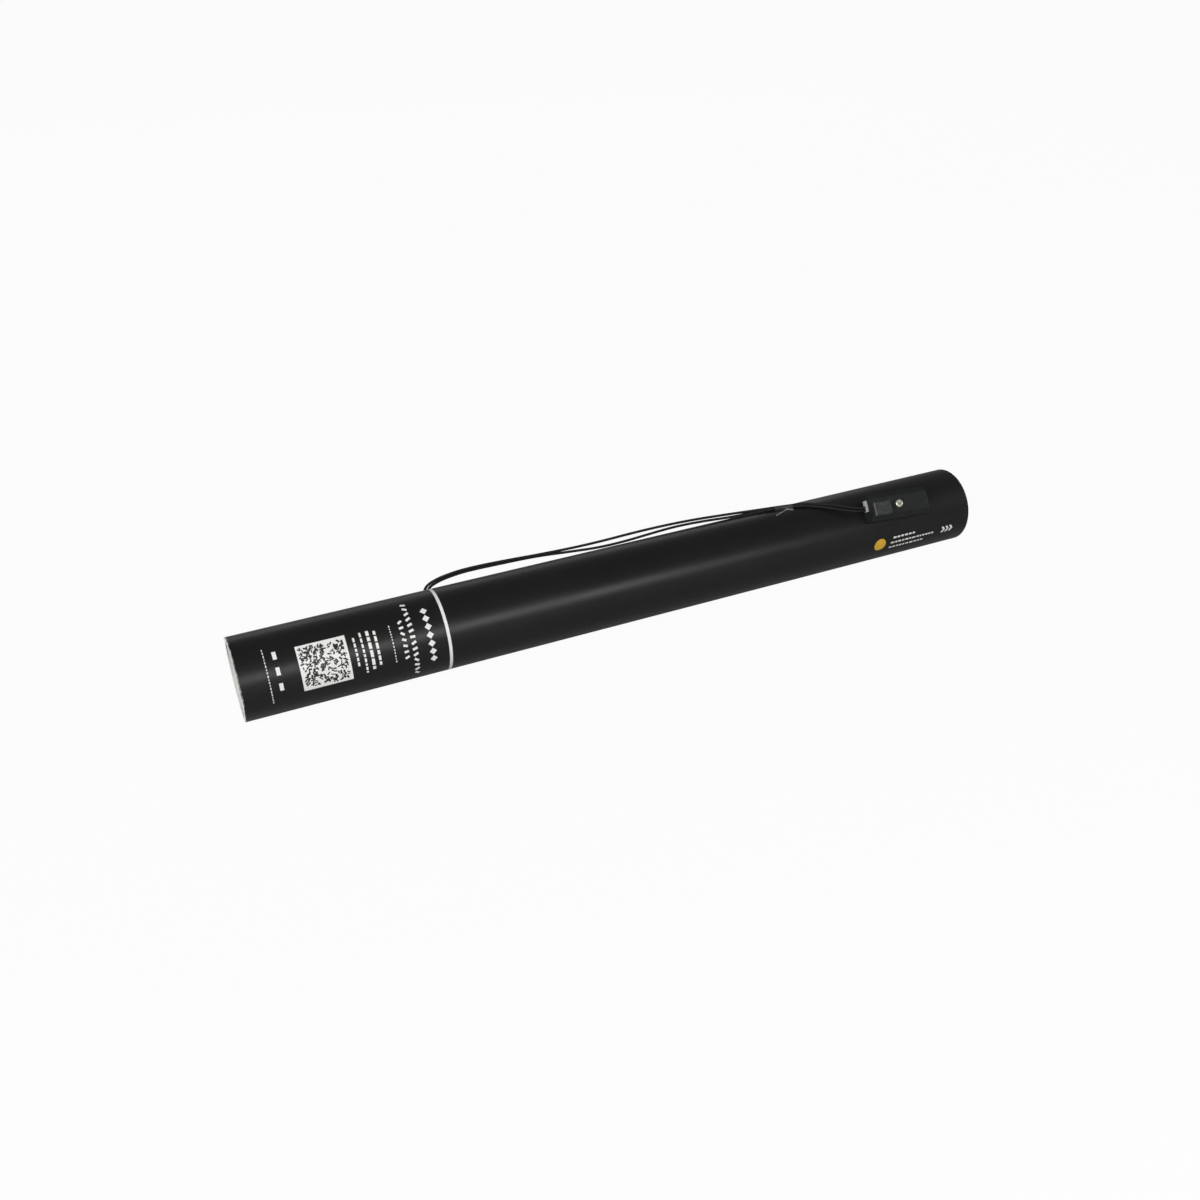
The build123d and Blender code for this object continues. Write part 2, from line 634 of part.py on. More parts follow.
# Wires: points as (station, angle, radius), from the terminal tab inside to the grip on the plug
ROUTE_A = [
    (121.0, 40.9, 8.1), (120.9, 11.4, 8.55), (120.5, -32.2, 10.6), (120.2, -53.4, 15.0),
    (120.07, -57.9, 21.0), (120.25, -57.8, 26.0), (122.5, -57.0, 29.4), (127.2, -54.2, 31.2),
    (135.0, -50.6, 32.4), (148.0, -47.0, 33.1), (170.0, -44.0, 32.3), (200.0, -41.0, 30.5),
    (232.0, -39.0, 29.7), (266.0, -36.0, 30.6), (298.0, -33.0, 30.2), (326.0, -28.0, 28.4),
    (348.0, -22.0, 27.0), (366.0, -17.5, 26.1), (380.0, -8.5, 26.1), (391.0, 5.5, 26.3), (400.0, 18.5, 28.0),
]
ROUTE_B = [
    (121.0, -156.9, 8.1), (121.1, -127.4, 8.55), (121.5, -83.8, 10.6), (121.8, -62.6, 15.0),
    (121.93, -58.1, 20.5), (122.05, -57.9, 25.2), (124.4, -57.7, 28.55), (129.2, -55.9, 30.25),
    (136.5, -52.9, 31.35), (149.0, -49.9, 32.05), (170.0, -46.7, 31.2), (194.0, -48.0, 30.9),
    (216.0, -44.0, 28.3), (236.0, -38.0, 26.2), (254.0, -34.0, 26.3), (271.0, -33.5, 27.3),
    (291.0, -35.5, 28.2), (311.0, -34.0, 27.4), (328.0, -27.0, 26.1), (343.0, -20.0, 26.1),
    (357.0, -14.5, 26.1), (370.0, -9.7, 26.1), (381.0, 0.8, 26.1), (391.0, 13.0, 26.3), (400.0, 27.5, 28.3),
]


def grip_approach(side):
    """The last two points of a wire, straight onto the grip's outer face."""
    for reach in (GRIP_SHOW + GRIP_APPROACH, GRIP_SHOW):
        yield PLUG_FRAME.from_local_coords(Vector(-reach, wire_side(side), WIRE_HEIGHT))


def make_lead(name, route, side):
    return wire_tube(name, [polar(*point) for point in route] + list(grip_approach(side)), WIRE_RADIUS)


def make_exit_bush():
    frame = radial_plane(EXIT_STATION, EXIT_ANGLE)
    band = pipe(BARREL_RADIUS + SEAT_CLEARANCE + BUSH_FLANGE, BARREL_RADIUS + SEAT_CLEARANCE,
                EXIT_STATION - 2 * BUSH_FLANGE_RADIUS, EXIT_STATION + 2 * BUSH_FLANGE_RADIUS)
    flange = band & (frame * upright(BUSH_FLANGE_RADIUS, BORE_RADIUS / 2, BARREL_RADIUS * 2))
    stem = frame * upright(BUSH_RADIUS, HOUSING_INNER, BARREL_RADIUS + BUSH_FLANGE / 2)
    slot = extrude(SlotCenterToCenter(WIRE_SPACING, 2 * BUSH_SLOT_RADIUS), amount=BARREL_RADIUS * 2)
    return flange + stem - frame * slot


def make_tape():
    """A strip on the barrel that tents over both wires, cut slanting across the barrel."""
    low = BARREL_RADIUS + SEAT_CLEARANCE / 2

    def edge(lift):
        foot = low + lift
        top = low + TAPE_LIFT + lift
        back, rise, fall, front = TENT_ANGLES
        flat = [polar(TAPE_STATION, angle, foot) for angle in
                (TAPE_BACK_ANGLE, (TAPE_BACK_ANGLE + back) / 2, back)]
        tent = [polar(TAPE_STATION, angle, top) for angle in (rise, (rise + fall) / 2, fall)]
        end = [polar(TAPE_STATION, angle, foot) for angle in
               (front, (front + TAPE_FRONT_ANGLE) / 2, TAPE_FRONT_ANGLE)]
        return [ThreePointArc(*flat), Line(flat[2], tent[0]), ThreePointArc(*tent), Line(tent[2], end[0]),
                ThreePointArc(*end)]

    inner = edge(0.0)
    outer = edge(TAPE_THICKNESS)
    sides = [Line(inner[0] @ 0, outer[0] @ 0), Line(inner[-1] @ 1, outer[-1] @ 1)]
    profile = make_face(Curve() + inner + outer + sides)
    sheet = extrude(profile, amount=BARREL_RADIUS, dir=(1, 0, 0), both=True)
    reach = 4 * BARREL_RADIUS
    half = TAPE_WIDTH / 2
    slab = block((-half, -TAPE_FRONT_REACH, -reach), (half, reach, reach))
    return sheet & (radial_plane(TAPE_STATION, TAPE_ANGLE) * (Rot(0, 0, -TAPE_SLANT) * slab))


def on_plug(shape):
    return PLUG_FRAME.location * shape


thread_striker_half, thread_anchor_half = make_thread_halves()

PARTS = {
    "barrel_tube": make_barrel(),
    "base_cap": make_base_cap(),
    "cylinder_pad": make_pad(),
    "gas_cylinder": make_gas_cylinder(),
    "centring_ring_lower": make_centring_ring(CYLINDER_START + RING_INSET),
    "centring_ring_upper": make_centring_ring(SHOULDER - RING_INSET - RING_LENGTH),
    "valve_body": make_valve_body(),
    "valve_seal": make_valve_seal(),
    "valve_pin": make_valve_pin(),
    "poppet_washer": make_poppet_washer(),
    "trigger_housing": make_trigger_housing(),
    "housing_cover": make_housing_cover(),
    "cover_screws": make_cover_screws(),
    "striker": make_striker(),
    "striker_spring": make_striker_spring(),
    "thread_striker_half": thread_striker_half,
    "thread_anchor_half": thread_anchor_half,
    "heater_resistor": make_heater(),
    "terminal_tabs": make_terminal_tabs(),
    "exit_grommet": make_exit_bush(),
    "lead_wire_a": make_lead("lead_wire_a", ROUTE_A, 1),
    "lead_wire_b": make_lead("lead_wire_b", ROUTE_B, -1),
    "tape_strip": make_tape(),
    "cord_grip": on_plug(grip_box(0)),
    "plug_base": on_plug(make_plug_base()),
    "plug_cover": on_plug(make_plug_cover()),
    "plug_screw": on_plug(make_plug_screw()),
    "plug_nut": on_plug(make_plug_nut()),
    "plug_blades": on_plug(Compound(blade_bars(
        PLUG_BODY_LENGTH - BLADE_ROOT, PLUG_BODY_LENGTH + BLADE_LENGTH, 0))),
    "plug_tails": on_plug(Compound(tail_rods(WIRE_RADIUS))),
    "blade_guard": on_plug(make_blade_guard()),
    "wad": make_wad(),
    "muzzle_disc": make_muzzle_disc(),
}
for layer in range(LAYER_COUNT):
    PARTS[f"confetti_layer_{layer + 1}"] = make_confetti_layer(STACK_START + layer * LAYER_PITCH)

for name, shape in PARTS.items():
    export_step(shape, f"parts/{name}.step")

print(f"stations: exit {EXIT_STATION:.2f}, wad {WAD_START:.2f}, disc {DISC_START:.2f}, layers {LAYER_COUNT}")
print(f"plug frame: origin {PLUG_FRAME.origin}, along {PLUG_ALONG}, guard end {GUARD_END:.2f}")
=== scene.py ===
"""Confetti popper: the finish of every piece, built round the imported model.

The popper lies along X with its base at -X. A place on the barrel is a station from the base and a radius
from the axis, in metres, and an angle from the top towards the front (-Y), in degrees.
"""
import json
import random
from contextlib import contextmanager
from math import asin, cos, degrees, exp, hypot, pi, radians, sin, tan

import bmesh
import bpy
from bpy.props import FloatProperty, FloatVectorProperty, IntProperty, PointerProperty
from bpy.types import NodeSocket, Operator, Panel, PropertyGroup
from mathutils import Matrix, Vector, noise


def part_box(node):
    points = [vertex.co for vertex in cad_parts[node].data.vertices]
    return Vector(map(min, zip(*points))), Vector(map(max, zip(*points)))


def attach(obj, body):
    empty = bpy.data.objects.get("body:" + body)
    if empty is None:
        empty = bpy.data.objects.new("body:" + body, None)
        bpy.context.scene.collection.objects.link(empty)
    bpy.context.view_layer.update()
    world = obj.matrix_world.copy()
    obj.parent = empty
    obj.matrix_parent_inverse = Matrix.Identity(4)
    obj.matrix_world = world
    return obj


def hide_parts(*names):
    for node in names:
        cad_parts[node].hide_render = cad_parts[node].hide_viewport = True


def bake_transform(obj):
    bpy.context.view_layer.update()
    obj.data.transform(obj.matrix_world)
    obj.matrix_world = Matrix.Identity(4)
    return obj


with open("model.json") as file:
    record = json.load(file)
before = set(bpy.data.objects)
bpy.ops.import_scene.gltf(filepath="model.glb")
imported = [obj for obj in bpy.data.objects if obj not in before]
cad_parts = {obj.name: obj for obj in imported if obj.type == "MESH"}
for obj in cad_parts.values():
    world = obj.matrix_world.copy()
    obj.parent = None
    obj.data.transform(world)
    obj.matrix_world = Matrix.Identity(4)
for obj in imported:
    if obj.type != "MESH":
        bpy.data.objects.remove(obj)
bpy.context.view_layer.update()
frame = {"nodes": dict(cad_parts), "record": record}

bl_info = {
    "name": "Confetti popper",
    "version": (1, 0, 0),
    "blender": (4, 5, 0),
    "location": "View3D > Sidebar > Popper",
    "description": "Builds the finished pieces of a confetti popper round its packed model",
    "category": "Object",
}

MM = 0.001
BARREL_LOW, BARREL_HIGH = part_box("barrel_tube")
BASE = BARREL_LOW.x
MUZZLE = BARREL_HIGH.x
LENGTH = MUZZLE - BASE
RADIUS = (BARREL_HIGH.z - BARREL_LOW.z) / 2
AXIS = BARREL_LOW.z + RADIUS
SLOT_OF = {row["node"]: row["material_slot"] for row in frame["record"]["subparts"]}
WELD = 0.001 * MM

# The wires' exit, the tape and the plug lie where the model has them.
EXIT_STATION = 0.1210
EXIT_ANGLE = -58.0
EXIT_HOLE = 0.0041
TAPE_STATION = 0.3670
TAPE_ANGLE = -17.0
TAPE_SLANT = 25.0
TAPE_WIDTH = 0.0122
TAPE_BACK_ANGLE = -76.0
PLUG_STATION = 0.4415
PLUG_FACE_ANGLE = 50.0
PLUG_OFFSET = 0.0052
PLUG_SKEW = 3.7
PLUG_HALF = 0.0250
PLUG_STANDOFF = 0.0003
PLUG_WIRE_HEIGHT = 0.0045
PLUG_HEIGHT = 0.0090

# Wires: control points as (station, angle, radius), from the terminal tab inside to near the plug.
ROUTE_A = [
    (0.1210, 40.9, 0.0081), (0.1209, 11.4, 0.00855), (0.1205, -32.2, 0.0106), (0.1202, -53.4, 0.0150),
    (0.12007, -57.9, 0.0210), (0.12025, -57.8, 0.0260), (0.1225, -57.0, 0.0294), (0.1272, -54.2, 0.0312),
    (0.1350, -50.6, 0.0324), (0.1480, -47.0, 0.0331), (0.1700, -44.0, 0.0323), (0.2000, -41.0, 0.0305),
    (0.2320, -39.0, 0.0297), (0.2660, -36.0, 0.0306), (0.2980, -33.0, 0.0302), (0.3260, -28.0, 0.0284),
    (0.3480, -22.0, 0.0270), (0.3660, -17.5, 0.0261), (0.3800, -8.5, 0.0261), (0.3910, 5.5, 0.0263),
    (0.4000, 18.5, 0.0280),
]
ROUTE_B = [
    (0.1210, -156.9, 0.0081), (0.1211, -127.4, 0.00855), (0.1215, -83.8, 0.0106), (0.1218, -62.6, 0.0150),
    (0.12193, -58.1, 0.0205), (0.12205, -57.9, 0.0252), (0.1244, -57.7, 0.02855), (0.1292, -55.9, 0.03025),
    (0.1365, -52.9, 0.03135), (0.1490, -49.9, 0.03205), (0.1700, -46.7, 0.0312), (0.1940, -48.0, 0.0309),
    (0.2160, -44.0, 0.0283), (0.2360, -38.0, 0.0262), (0.2540, -34.0, 0.0263), (0.2710, -33.5, 0.0273),
    (0.2910, -35.5, 0.0282), (0.3110, -34.0, 0.0274), (0.3280, -27.0, 0.0261), (0.3430, -20.0, 0.0261),
    (0.3570, -14.5, 0.0261), (0.3700, -9.7, 0.0261), (0.3810, 0.8, 0.0261), (0.3910, 13.0, 0.0263),
    (0.4000, 27.5, 0.0283),
]
# Each wire goes into the grip along the plug, at its own place across the grip.
GRIP_ENTRY = (-0.0074, -0.0014)
GRIP_SIDE_A = 0.0015
GRIP_SIDE_B = -0.0004


def on_barrel(station, angle, radius):
    """A place on the barrel."""
    turn = radians(angle)
    return Vector((BASE + station, -radius * sin(turn), AXIS + radius * cos(turn)))


def outward(angle):
    """The direction away from the axis."""
    return Vector((0, -sin(radians(angle)), cos(radians(angle))))


def across(angle):
    """The direction round the barrel in which the angle grows."""
    return Vector((0, -cos(radians(angle)), -sin(radians(angle))))


def on_plug(x, y, z):
    """A place in the plug's own frame: from its cord end, up the barrel and away from the barrel."""
    out = outward(PLUG_FACE_ANGLE)
    round_barrel = across(PLUG_FACE_ANGLE)
    along = Vector((1, 0, 0)) * cos(radians(PLUG_SKEW)) + round_barrel * sin(radians(PLUG_SKEW))
    origin = (Vector((BASE + PLUG_STATION, 0, AXIS)) + out * (RADIUS + PLUG_STANDOFF)
              - round_barrel * PLUG_OFFSET - along * PLUG_HALF)
    return origin + along * x + out.cross(along) * y + out * z


# Settings that a user would change
def colour(name, description, default):
    return FloatVectorProperty(name=name, description=description, subtype="COLOR", size=3, min=0, max=1,
                               default=default)


def size(name, description, default):
    return FloatProperty(name=name, description=description, subtype="DISTANCE", unit="LENGTH", min=0,
                         precision=5, default=default)


def share(name, description, default):
    return FloatProperty(name=name, description=description, subtype="FACTOR", min=0, max=1, default=default)


def power(name, description, default):
    return FloatProperty(name=name, description=description, unit="POWER", min=0, default=default)


def count(name, description, default):
    return IntProperty(name=name, description=description, min=0, default=default)


class PopperBarrel(PropertyGroup):
    """The paper wrap on the barrel, and the cap in its base."""
    wrap_colour: colour("Wrap colour", "Colour of the printed paper", (0.0058, 0.0060, 0.0057))
    rub_colour: colour("Rub colour", "Colour of the wrap where it is rubbed", (0.014, 0.014, 0.013))
    board_colour: colour("Board colour", "Colour of the raw board at the ends", (0.86, 0.85, 0.82))
    wrap_roughness: share("Wrap roughness", "How matt the wrap is", 0.37)
    wrap_gap: size("Wrap gap", "From the board to the underside of the wrap", 0.03 * MM)
    wrap_thickness: size("Wrap thickness", "Thickness of the paper", 0.08 * MM)
    seam_lift: size("Seam lift", "How far the paper climbs where it overlaps itself", 0.09 * MM)
    edge_fray: size("Edge fray", "How ragged the wrap's ends are", 0.45 * MM)
    cap_edge_width: size("Cap edge width", "Width of the base cap's rounded edges", 0.4 * MM)
    fibre_count: count("Fibres", "Loose paper fibres round the base", 150)


class PopperPrint(PropertyGroup):
    """The generic marks printed on the wrap."""
    ink_colour: colour("Ink colour", "Colour of the pale print", (0.80, 0.80, 0.78))
    dark_ink_colour: colour("Dark ink colour", "Colour of the slips on the panel", (0.010, 0.010, 0.010))
    dot_colour: colour("Dot colour", "Colour of the round dot", (0.72, 0.42, 0.035))
    ring_start: size("Ring start", "Station where the ring starts", 120.4 * MM)
    ring_width: size("Ring width", "Width of the ring", 1.85 * MM)
    panel_slips: count("Panel slips", "Dark slips on the panel", 260)
    seed: count("Seed", "Seed of the scattered marks", 7)


class PopperWires(PropertyGroup):
    """The two wires and the tape over them."""
    wire_colour: colour("Wire colour", "Colour of the sheath", (0.006, 0.006, 0.006))
    tape_colour: colour("Tape colour", "Colour of the film", (0.62, 0.62, 0.61))
    wire_diameter: size("Wire diameter", "Diameter over the sheath", 1.7 * MM)
    wire_a_length: size("Wire A length", "Length of the upper wire", 334.7 * MM)
    wire_b_length: size("Wire B length", "Length of the lower wire", 331.6 * MM)
    tape_thickness: size("Tape thickness", "Thickness of the film", 0.06 * MM)
    tape_slope: size("Tape slope", "Width of the tape's slope beside a wire", 1.7 * MM)


class PopperPlug(PropertyGroup):
    """The plug at the wires' end."""
    plug_colour: colour("Plug colour", "Colour of the moulded plug", (0.0115, 0.0125, 0.0122))
    # Used for the plug's rub marks, which are wear, and for its lighter rounded edges, a painted highlight
    # with some wear
    edge_colour: colour("Edge colour", "Colour of the plug's worn edges", (0.043, 0.048, 0.047))
    grip_colour: colour("Grip colour", "Colour of the grip on the wires", (0.42, 0.42, 0.40))
    edge_width: size("Edge width", "Width of the plug's rounded edges", 0.35 * MM)
    grip_edge_width: size("Grip edge width", "Width of the grip's rounded edges", 0.3 * MM)


class PopperCharge(PropertyGroup):
    """The paper slips in the barrel, and the boards at their ends."""
    slip_colour: colour("Slip colour", "Colour of the paper slips", (0.84, 0.84, 0.83))
    slip_pitch: size("Slip pitch", "From one slip in a stack to the next", 0.55 * MM)
    slip_thickness: size("Slip thickness", "Thickness of a slip", 0.40 * MM)
    slip_margin: size("Slip margin", "How far the slips stay inside their stack", 0.40 * MM)
    slip_ripple: size("Slip ripple", "How far the slips wave up and down", 0.22 * MM)
    board_edge_width: size("Board edge width", "Width of the boards' rounded edges", 0.35 * MM)
    seed: count("Seed", "Seed of the stacks", 11)


class PopperStage(PropertyGroup):
    """Floor, light and camera."""
    floor_colour: colour("Floor colour", "Colour of the floor as the object sees it", (0.42, 0.42, 0.42))
    white_share: share("White share", "How much of the floor's look is plain white", 0.96)
    glossy_share: share("Glossy share", "How much of that white reflections see", 0.05)
    sky_level: FloatProperty(name="Sky level", description="Light from all round", default=0.18, min=0)
    key_power: power("Key power", "Soft lamp in front", 6.0)
    side_power: power("Side power", "Large lamp at the base end", 20.0)
    back_power: power("Back power", "Low lamp behind", 2.0)
    base_power: power("Base power", "Lamp that faces the base", 4.0)
    muzzle_power: power("Muzzle power", "Lamp that faces the muzzle", 5.0)
    floor_power: power("Floor power", "Lamp over the floor in front", 16.0)
    lens: FloatProperty(name="Lens", description="Focal length of the camera", unit="CAMERA", default=35.24,
                        min=1)


# Meshes
@contextmanager
def editing(mesh):
    """Opens a mesh for editing, and writes the result back to it."""
    shape = bmesh.new()
    shape.from_mesh(mesh)
    yield shape
    shape.to_mesh(mesh)
    shape.free()


def new_object(name, data=None, *materials):
    """An object at the origin, with an empty mesh unless other data is given."""
    made = bpy.data.objects.new(name, data or bpy.data.meshes.new(name))
    bpy.context.scene.collection.objects.link(made)
    for material in materials:
        made.data.materials.append(material)
    return made


def evaluated_mesh(piece):
    """A new mesh of what a piece's curve or modifiers make."""
    return bpy.data.meshes.new_from_object(piece.evaluated_get(bpy.context.evaluated_depsgraph_get()))


def plain_mesh(piece):
    """Turns what a piece's modifiers make into its own mesh."""
    made = evaluated_mesh(piece)
    piece.modifiers.clear()
    piece.data = made
    return piece


def fit(piece, body, nodes=()):
    """Joins a finished piece to its body, and hides the nodes that it stands for."""
    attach(piece, body)
    if nodes:
        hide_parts(*nodes)


def thin_sheet(name, place, thickness, material, rows, columns):
    """A closed thin sheet. place(u, v, lift) gives its points, with u and v from 0 to 1."""
    points = []
    for lift in (thickness, 0.0):
        for i in range(rows + 1):
            points += [place(i / rows, j / columns, lift) for j in range(columns + 1)]
    wide = columns + 1
    under = (rows + 1) * wide
    faces = []
    for i in range(rows):
        for j in range(columns):
            a = i * wide + j
            top = [a, a + 1, a + wide + 1, a + wide]
            faces += [top, [under + k for k in reversed(top)]]
    rim = list(range(columns)) + [i * wide + columns for i in range(rows)]
    rim += [rows * wide + j for j in range(columns, 0, -1)] + [i * wide for i in range(rows, 0, -1)]
    for a, b in zip(rim, rim[1:] + rim[:1]):
        faces.append([a, b, under + b, under + a])
    mesh = bpy.data.meshes.new(name)
    mesh.from_pydata(points, [], faces)
    with editing(mesh) as shape:
        bmesh.ops.recalc_face_normals(shape, faces=shape.faces)
    mesh.shade_smooth()
    mesh.set_sharp_from_angle(angle=radians(40))
    return new_object(name, mesh, material)


def softened(node, name, width, material, edge_material=None):
    """A copy of a node with its edges rounded, to stand for the node."""
    mesh = frame["nodes"][node].data.copy()
    with editing(mesh) as shape:
        bmesh.ops.remove_doubles(shape, verts=shape.verts, dist=WELD)
        bmesh.ops.dissolve_limit(shape, angle_limit=radians(1), verts=shape.verts, edges=shape.edges)
    mesh.materials.clear()
    mesh.shade_smooth()
    piece = new_object(name, mesh, material, edge_material or material)
    edges = piece.modifiers.new("Rounded edges", "BEVEL")
    edges.width = width
    edges.segments = 3
    edges.limit_method = "ANGLE"
    edges.angle_limit = radians(25)
    edges.material = 1
    normals = piece.modifiers.new("Flat faces", "WEIGHTED_NORMAL")
    normals.weight = 100
    return plain_mesh(piece)


# Node trees
def add(tree, kind, links=None, **settings):
    """Adds a node, and fills its inputs with values or with other nodes' outputs."""
    made = tree.nodes.new(kind)
    for key, value in settings.items():
        setattr(made, key, value)
    for key, value in (links or {}).items():
        if isinstance(value, NodeSocket):
            tree.links.new(value, made.inputs[key])
        else:
            made.inputs[key].default_value = value
    return made


def calc(tree, operation, a, b=0.0):
    return add(tree, "ShaderNodeMath", {0: a, 1: b}, operation=operation).outputs[0]


def vector_calc(tree, operation, a, b=(0, 0, 0)):
    return add(tree, "ShaderNodeVectorMath", {0: a, 1: b}, operation=operation).outputs[0]


def remap(tree, value, low, high, new_low=0.0, new_high=1.0):
    links = {"Value": value, "From Min": low, "From Max": high, "To Min": new_low, "To Max": new_high}
    return add(tree, "ShaderNodeMapRange", links).outputs[0]


def mix_colour(tree, factor, a, b):
    """Mixes two colours, each a socket or three numbers. A Mix node has them at its sockets 6 and 7."""
    a, b = (value if isinstance(value, NodeSocket) else (*value[:3], 1) for value in (a, b))
    return add(tree, "ShaderNodeMix", {0: factor, 6: a, 7: b}, data_type="RGBA").outputs[2]


def object_place(tree):
    return add(tree, "ShaderNodeTexCoord").outputs["Object"]


def split(tree, vector):
    return add(tree, "ShaderNodeSeparateXYZ", {0: vector}).outputs


def joined(tree, **parts):
    """A vector from some of its parts x, y and z."""
    return add(tree, "ShaderNodeCombineXYZ", {key.upper(): part for key, part in parts.items()}).outputs[0]


def node_group(name, kind, inputs, outputs):
    """An empty group with its sockets: the tree, its inputs and a function that feeds an output."""
    tree = bpy.data.node_groups.new(name, kind)
    for label, socket in inputs:
        tree.interface.new_socket(name=label, in_out="INPUT", socket_type="NodeSocket" + socket)
    for label, socket in outputs:
        tree.interface.new_socket(name=label, in_out="OUTPUT", socket_type="NodeSocket" + socket)
    given = tree.nodes.new("NodeGroupInput").outputs
    taken = tree.nodes.new("NodeGroupOutput").inputs
    return tree, given, lambda label, socket: tree.links.new(socket, taken[label])


def shared_group(build):
    """The group that a function builds, built at the first call and found by its name after that."""
    name = build.__name__
    return bpy.data.node_groups.get(name) or build(name)


def grain_and_patches(name):
    """Fine grain and broad patches, both from 0 to 1, on the piece's own coordinates."""
    tree, given, feed = node_group(
        name, "ShaderNodeTree",
        [("Grain Size", "Float"), ("Patch Size", "Float"), ("Stretch", "Vector")],
        [("Grain", "Float"), ("Patches", "Float")])
    stretched = vector_calc(tree, "MULTIPLY", object_place(tree), given["Stretch"])
    for label, output, detail in (("Grain Size", "Grain", 4.0), ("Patch Size", "Patches", 3.0)):
        scale = calc(tree, "DIVIDE", 1.0, given[label])
        links = {"Vector": stretched, "Scale": scale, "Detail": detail, "Roughness": 0.6}
        cloud = add(tree, "ShaderNodeTexNoise", links).outputs["Fac"]
        feed(output, remap(tree, cloud, 0.3, 0.7))
    return tree


def rub_marks(name):
    """Short fine rub marks in two directions, as a mask from 0 to 1."""
    tree, given, feed = node_group(
        name, "ShaderNodeTree",
        [("Length", "Float"), ("Width", "Float"), ("Amount", "Float")],
        [("Mask", "Float")])
    place = object_place(tree)
    along = calc(tree, "DIVIDE", 1.0, given["Length"])
    wide = calc(tree, "DIVIDE", 1.0, given["Width"])
    scale = joined(tree, x=along, y=wide, z=wide)
    masks = []
    for turn in (0.35, -0.6):
        links = {"Vector": place, "Rotation": (turn, turn / 2, turn)}
        turned = add(tree, "ShaderNodeMapping", links).outputs[0]
        links = {"Vector": vector_calc(tree, "MULTIPLY", turned, scale), "Scale": 1.0, "Detail": 1.0}
        lines = add(tree, "ShaderNodeTexNoise", links).outputs["Fac"]
        masks.append(remap(tree, lines, 0.66, 0.74))
    both = calc(tree, "MAXIMUM", *masks)
    feed("Mask", calc(tree, "MULTIPLY", both, given["Amount"]))
    return tree


# Materials
PREFIX = "popper_"


def shade(paint, factor):
    return [part * factor for part in paint]


def surface(name, base, other, roughness, spread=0.06, grain=0.5, depth=0.01, patches=12, stretch=(1, 1, 1),
            rubs=None, **sockets):
    """Makes a material with grain, patches of a second colour and, where given, rub marks.

    Grain, depth and patches are in mm. Rub marks are a colour, a length and a width in mm, and an amount.
    """
    material = bpy.data.materials.new(PREFIX + name)
    material.use_nodes = True
    tree = material.node_tree
    shader = tree.nodes["Principled BSDF"]
    for label, value in sockets.items():
        shader.inputs[label.replace("_", " ")].default_value = value
    links = {"Grain Size": grain * MM, "Patch Size": patches * MM, "Stretch": stretch}
    texture = add(tree, "ShaderNodeGroup", links, node_tree=shared_group(grain_and_patches)).outputs
    tint = mix_colour(tree, texture["Patches"], base, other)
    rough = remap(tree, texture["Patches"], 0, 1, roughness - spread, roughness + spread)
    if rubs:
        rub_colour, length, width, amount = rubs
        links = {"Length": length * MM, "Width": width * MM, "Amount": amount}
        marks = add(tree, "ShaderNodeGroup", links, node_tree=shared_group(rub_marks)).outputs["Mask"]
        tint = mix_colour(tree, marks, tint, rub_colour)
    links = {"Height": texture["Grain"], "Distance": depth * MM, "Strength": 1.0}
    bump = add(tree, "ShaderNodeBump", links).outputs[0]
    for label, socket in (("Base Color", tint), ("Roughness", rough), ("Normal", bump)):
        tree.links.new(socket, shader.inputs[label])
    return tree


def node_of(tree, kind):
    return next(node for node in tree.nodes if node.type == kind)


def paint_over(tree, mask, paint):
    """Adds a colour to a material where a mask says so."""
    tint = tree.nodes["Principled BSDF"].inputs["Base Color"]
    tree.links.new(mix_colour(tree, mask, tint.links[0].from_socket, paint), tint)


def wrap_material(settings):
    """Satin printed paper: near black, with faint fibres and rub marks."""
    surface("black_wrap", settings.wrap_colour, shade(settings.wrap_colour, 1.25), settings.wrap_roughness,
            spread=0.04, grain=0.35, depth=0.004, patches=30, stretch=(0.35, 1, 1),
            rubs=(settings.rub_colour, 9, 0.25, 0.35), Specular_IOR_Level=0.33)


PLY = 0.5 * MM
PLY_START = 0.2 * MM
SPIRAL_PITCH = 62 * MM


def board_material(settings):
    """Wound board: fibres, ply rings on the cut ends and a spiral seam in the bore."""
    pale = settings.board_colour
    tree = surface("raw_board", pale, shade(pale, 0.84), 0.85, grain=0.25, depth=0.03, patches=3,
                   Specular_IOR_Level=0.0)
    x, y, z = split(tree, object_place(tree))
    up = calc(tree, "SUBTRACT", z, AXIS)
    squares = calc(tree, "ADD", calc(tree, "MULTIPLY", y, y), calc(tree, "MULTIPLY", up, up))
    radius = calc(tree, "SQRT", squares)
    turns = calc(tree, "DIVIDE", calc(tree, "ARCTAN2", y, up), 2 * pi)
    ply = calc(tree, "FRACT", calc(tree, "DIVIDE", calc(tree, "ADD", radius, PLY_START), PLY))
    spiral = calc(tree, "FRACT", calc(tree, "ADD", calc(tree, "DIVIDE", x, SPIRAL_PITCH), turns))
    lines = calc(tree, "MAXIMUM", remap(tree, ply, 0.80, 0.95), remap(tree, spiral, 0.985, 0.995))
    paint_over(tree, calc(tree, "MULTIPLY", lines, 0.45), shade(pale, 0.35))
    height = node_of(tree, "BUMP").inputs["Height"]
    tree.links.new(calc(tree, "SUBTRACT", height.links[0].from_socket, lines), height)


# The heater's painted bands: place along its body and colour
BANDS = ((-2.2 * MM, (0.25, 0.02, 0.02)), (-1.1 * MM, (0.02, 0.02, 0.02)),
         (0.0, (0.16, 0.07, 0.02)), (1.9 * MM, (0.6, 0.42, 0.1)))
BAND_HALF = 0.3 * MM


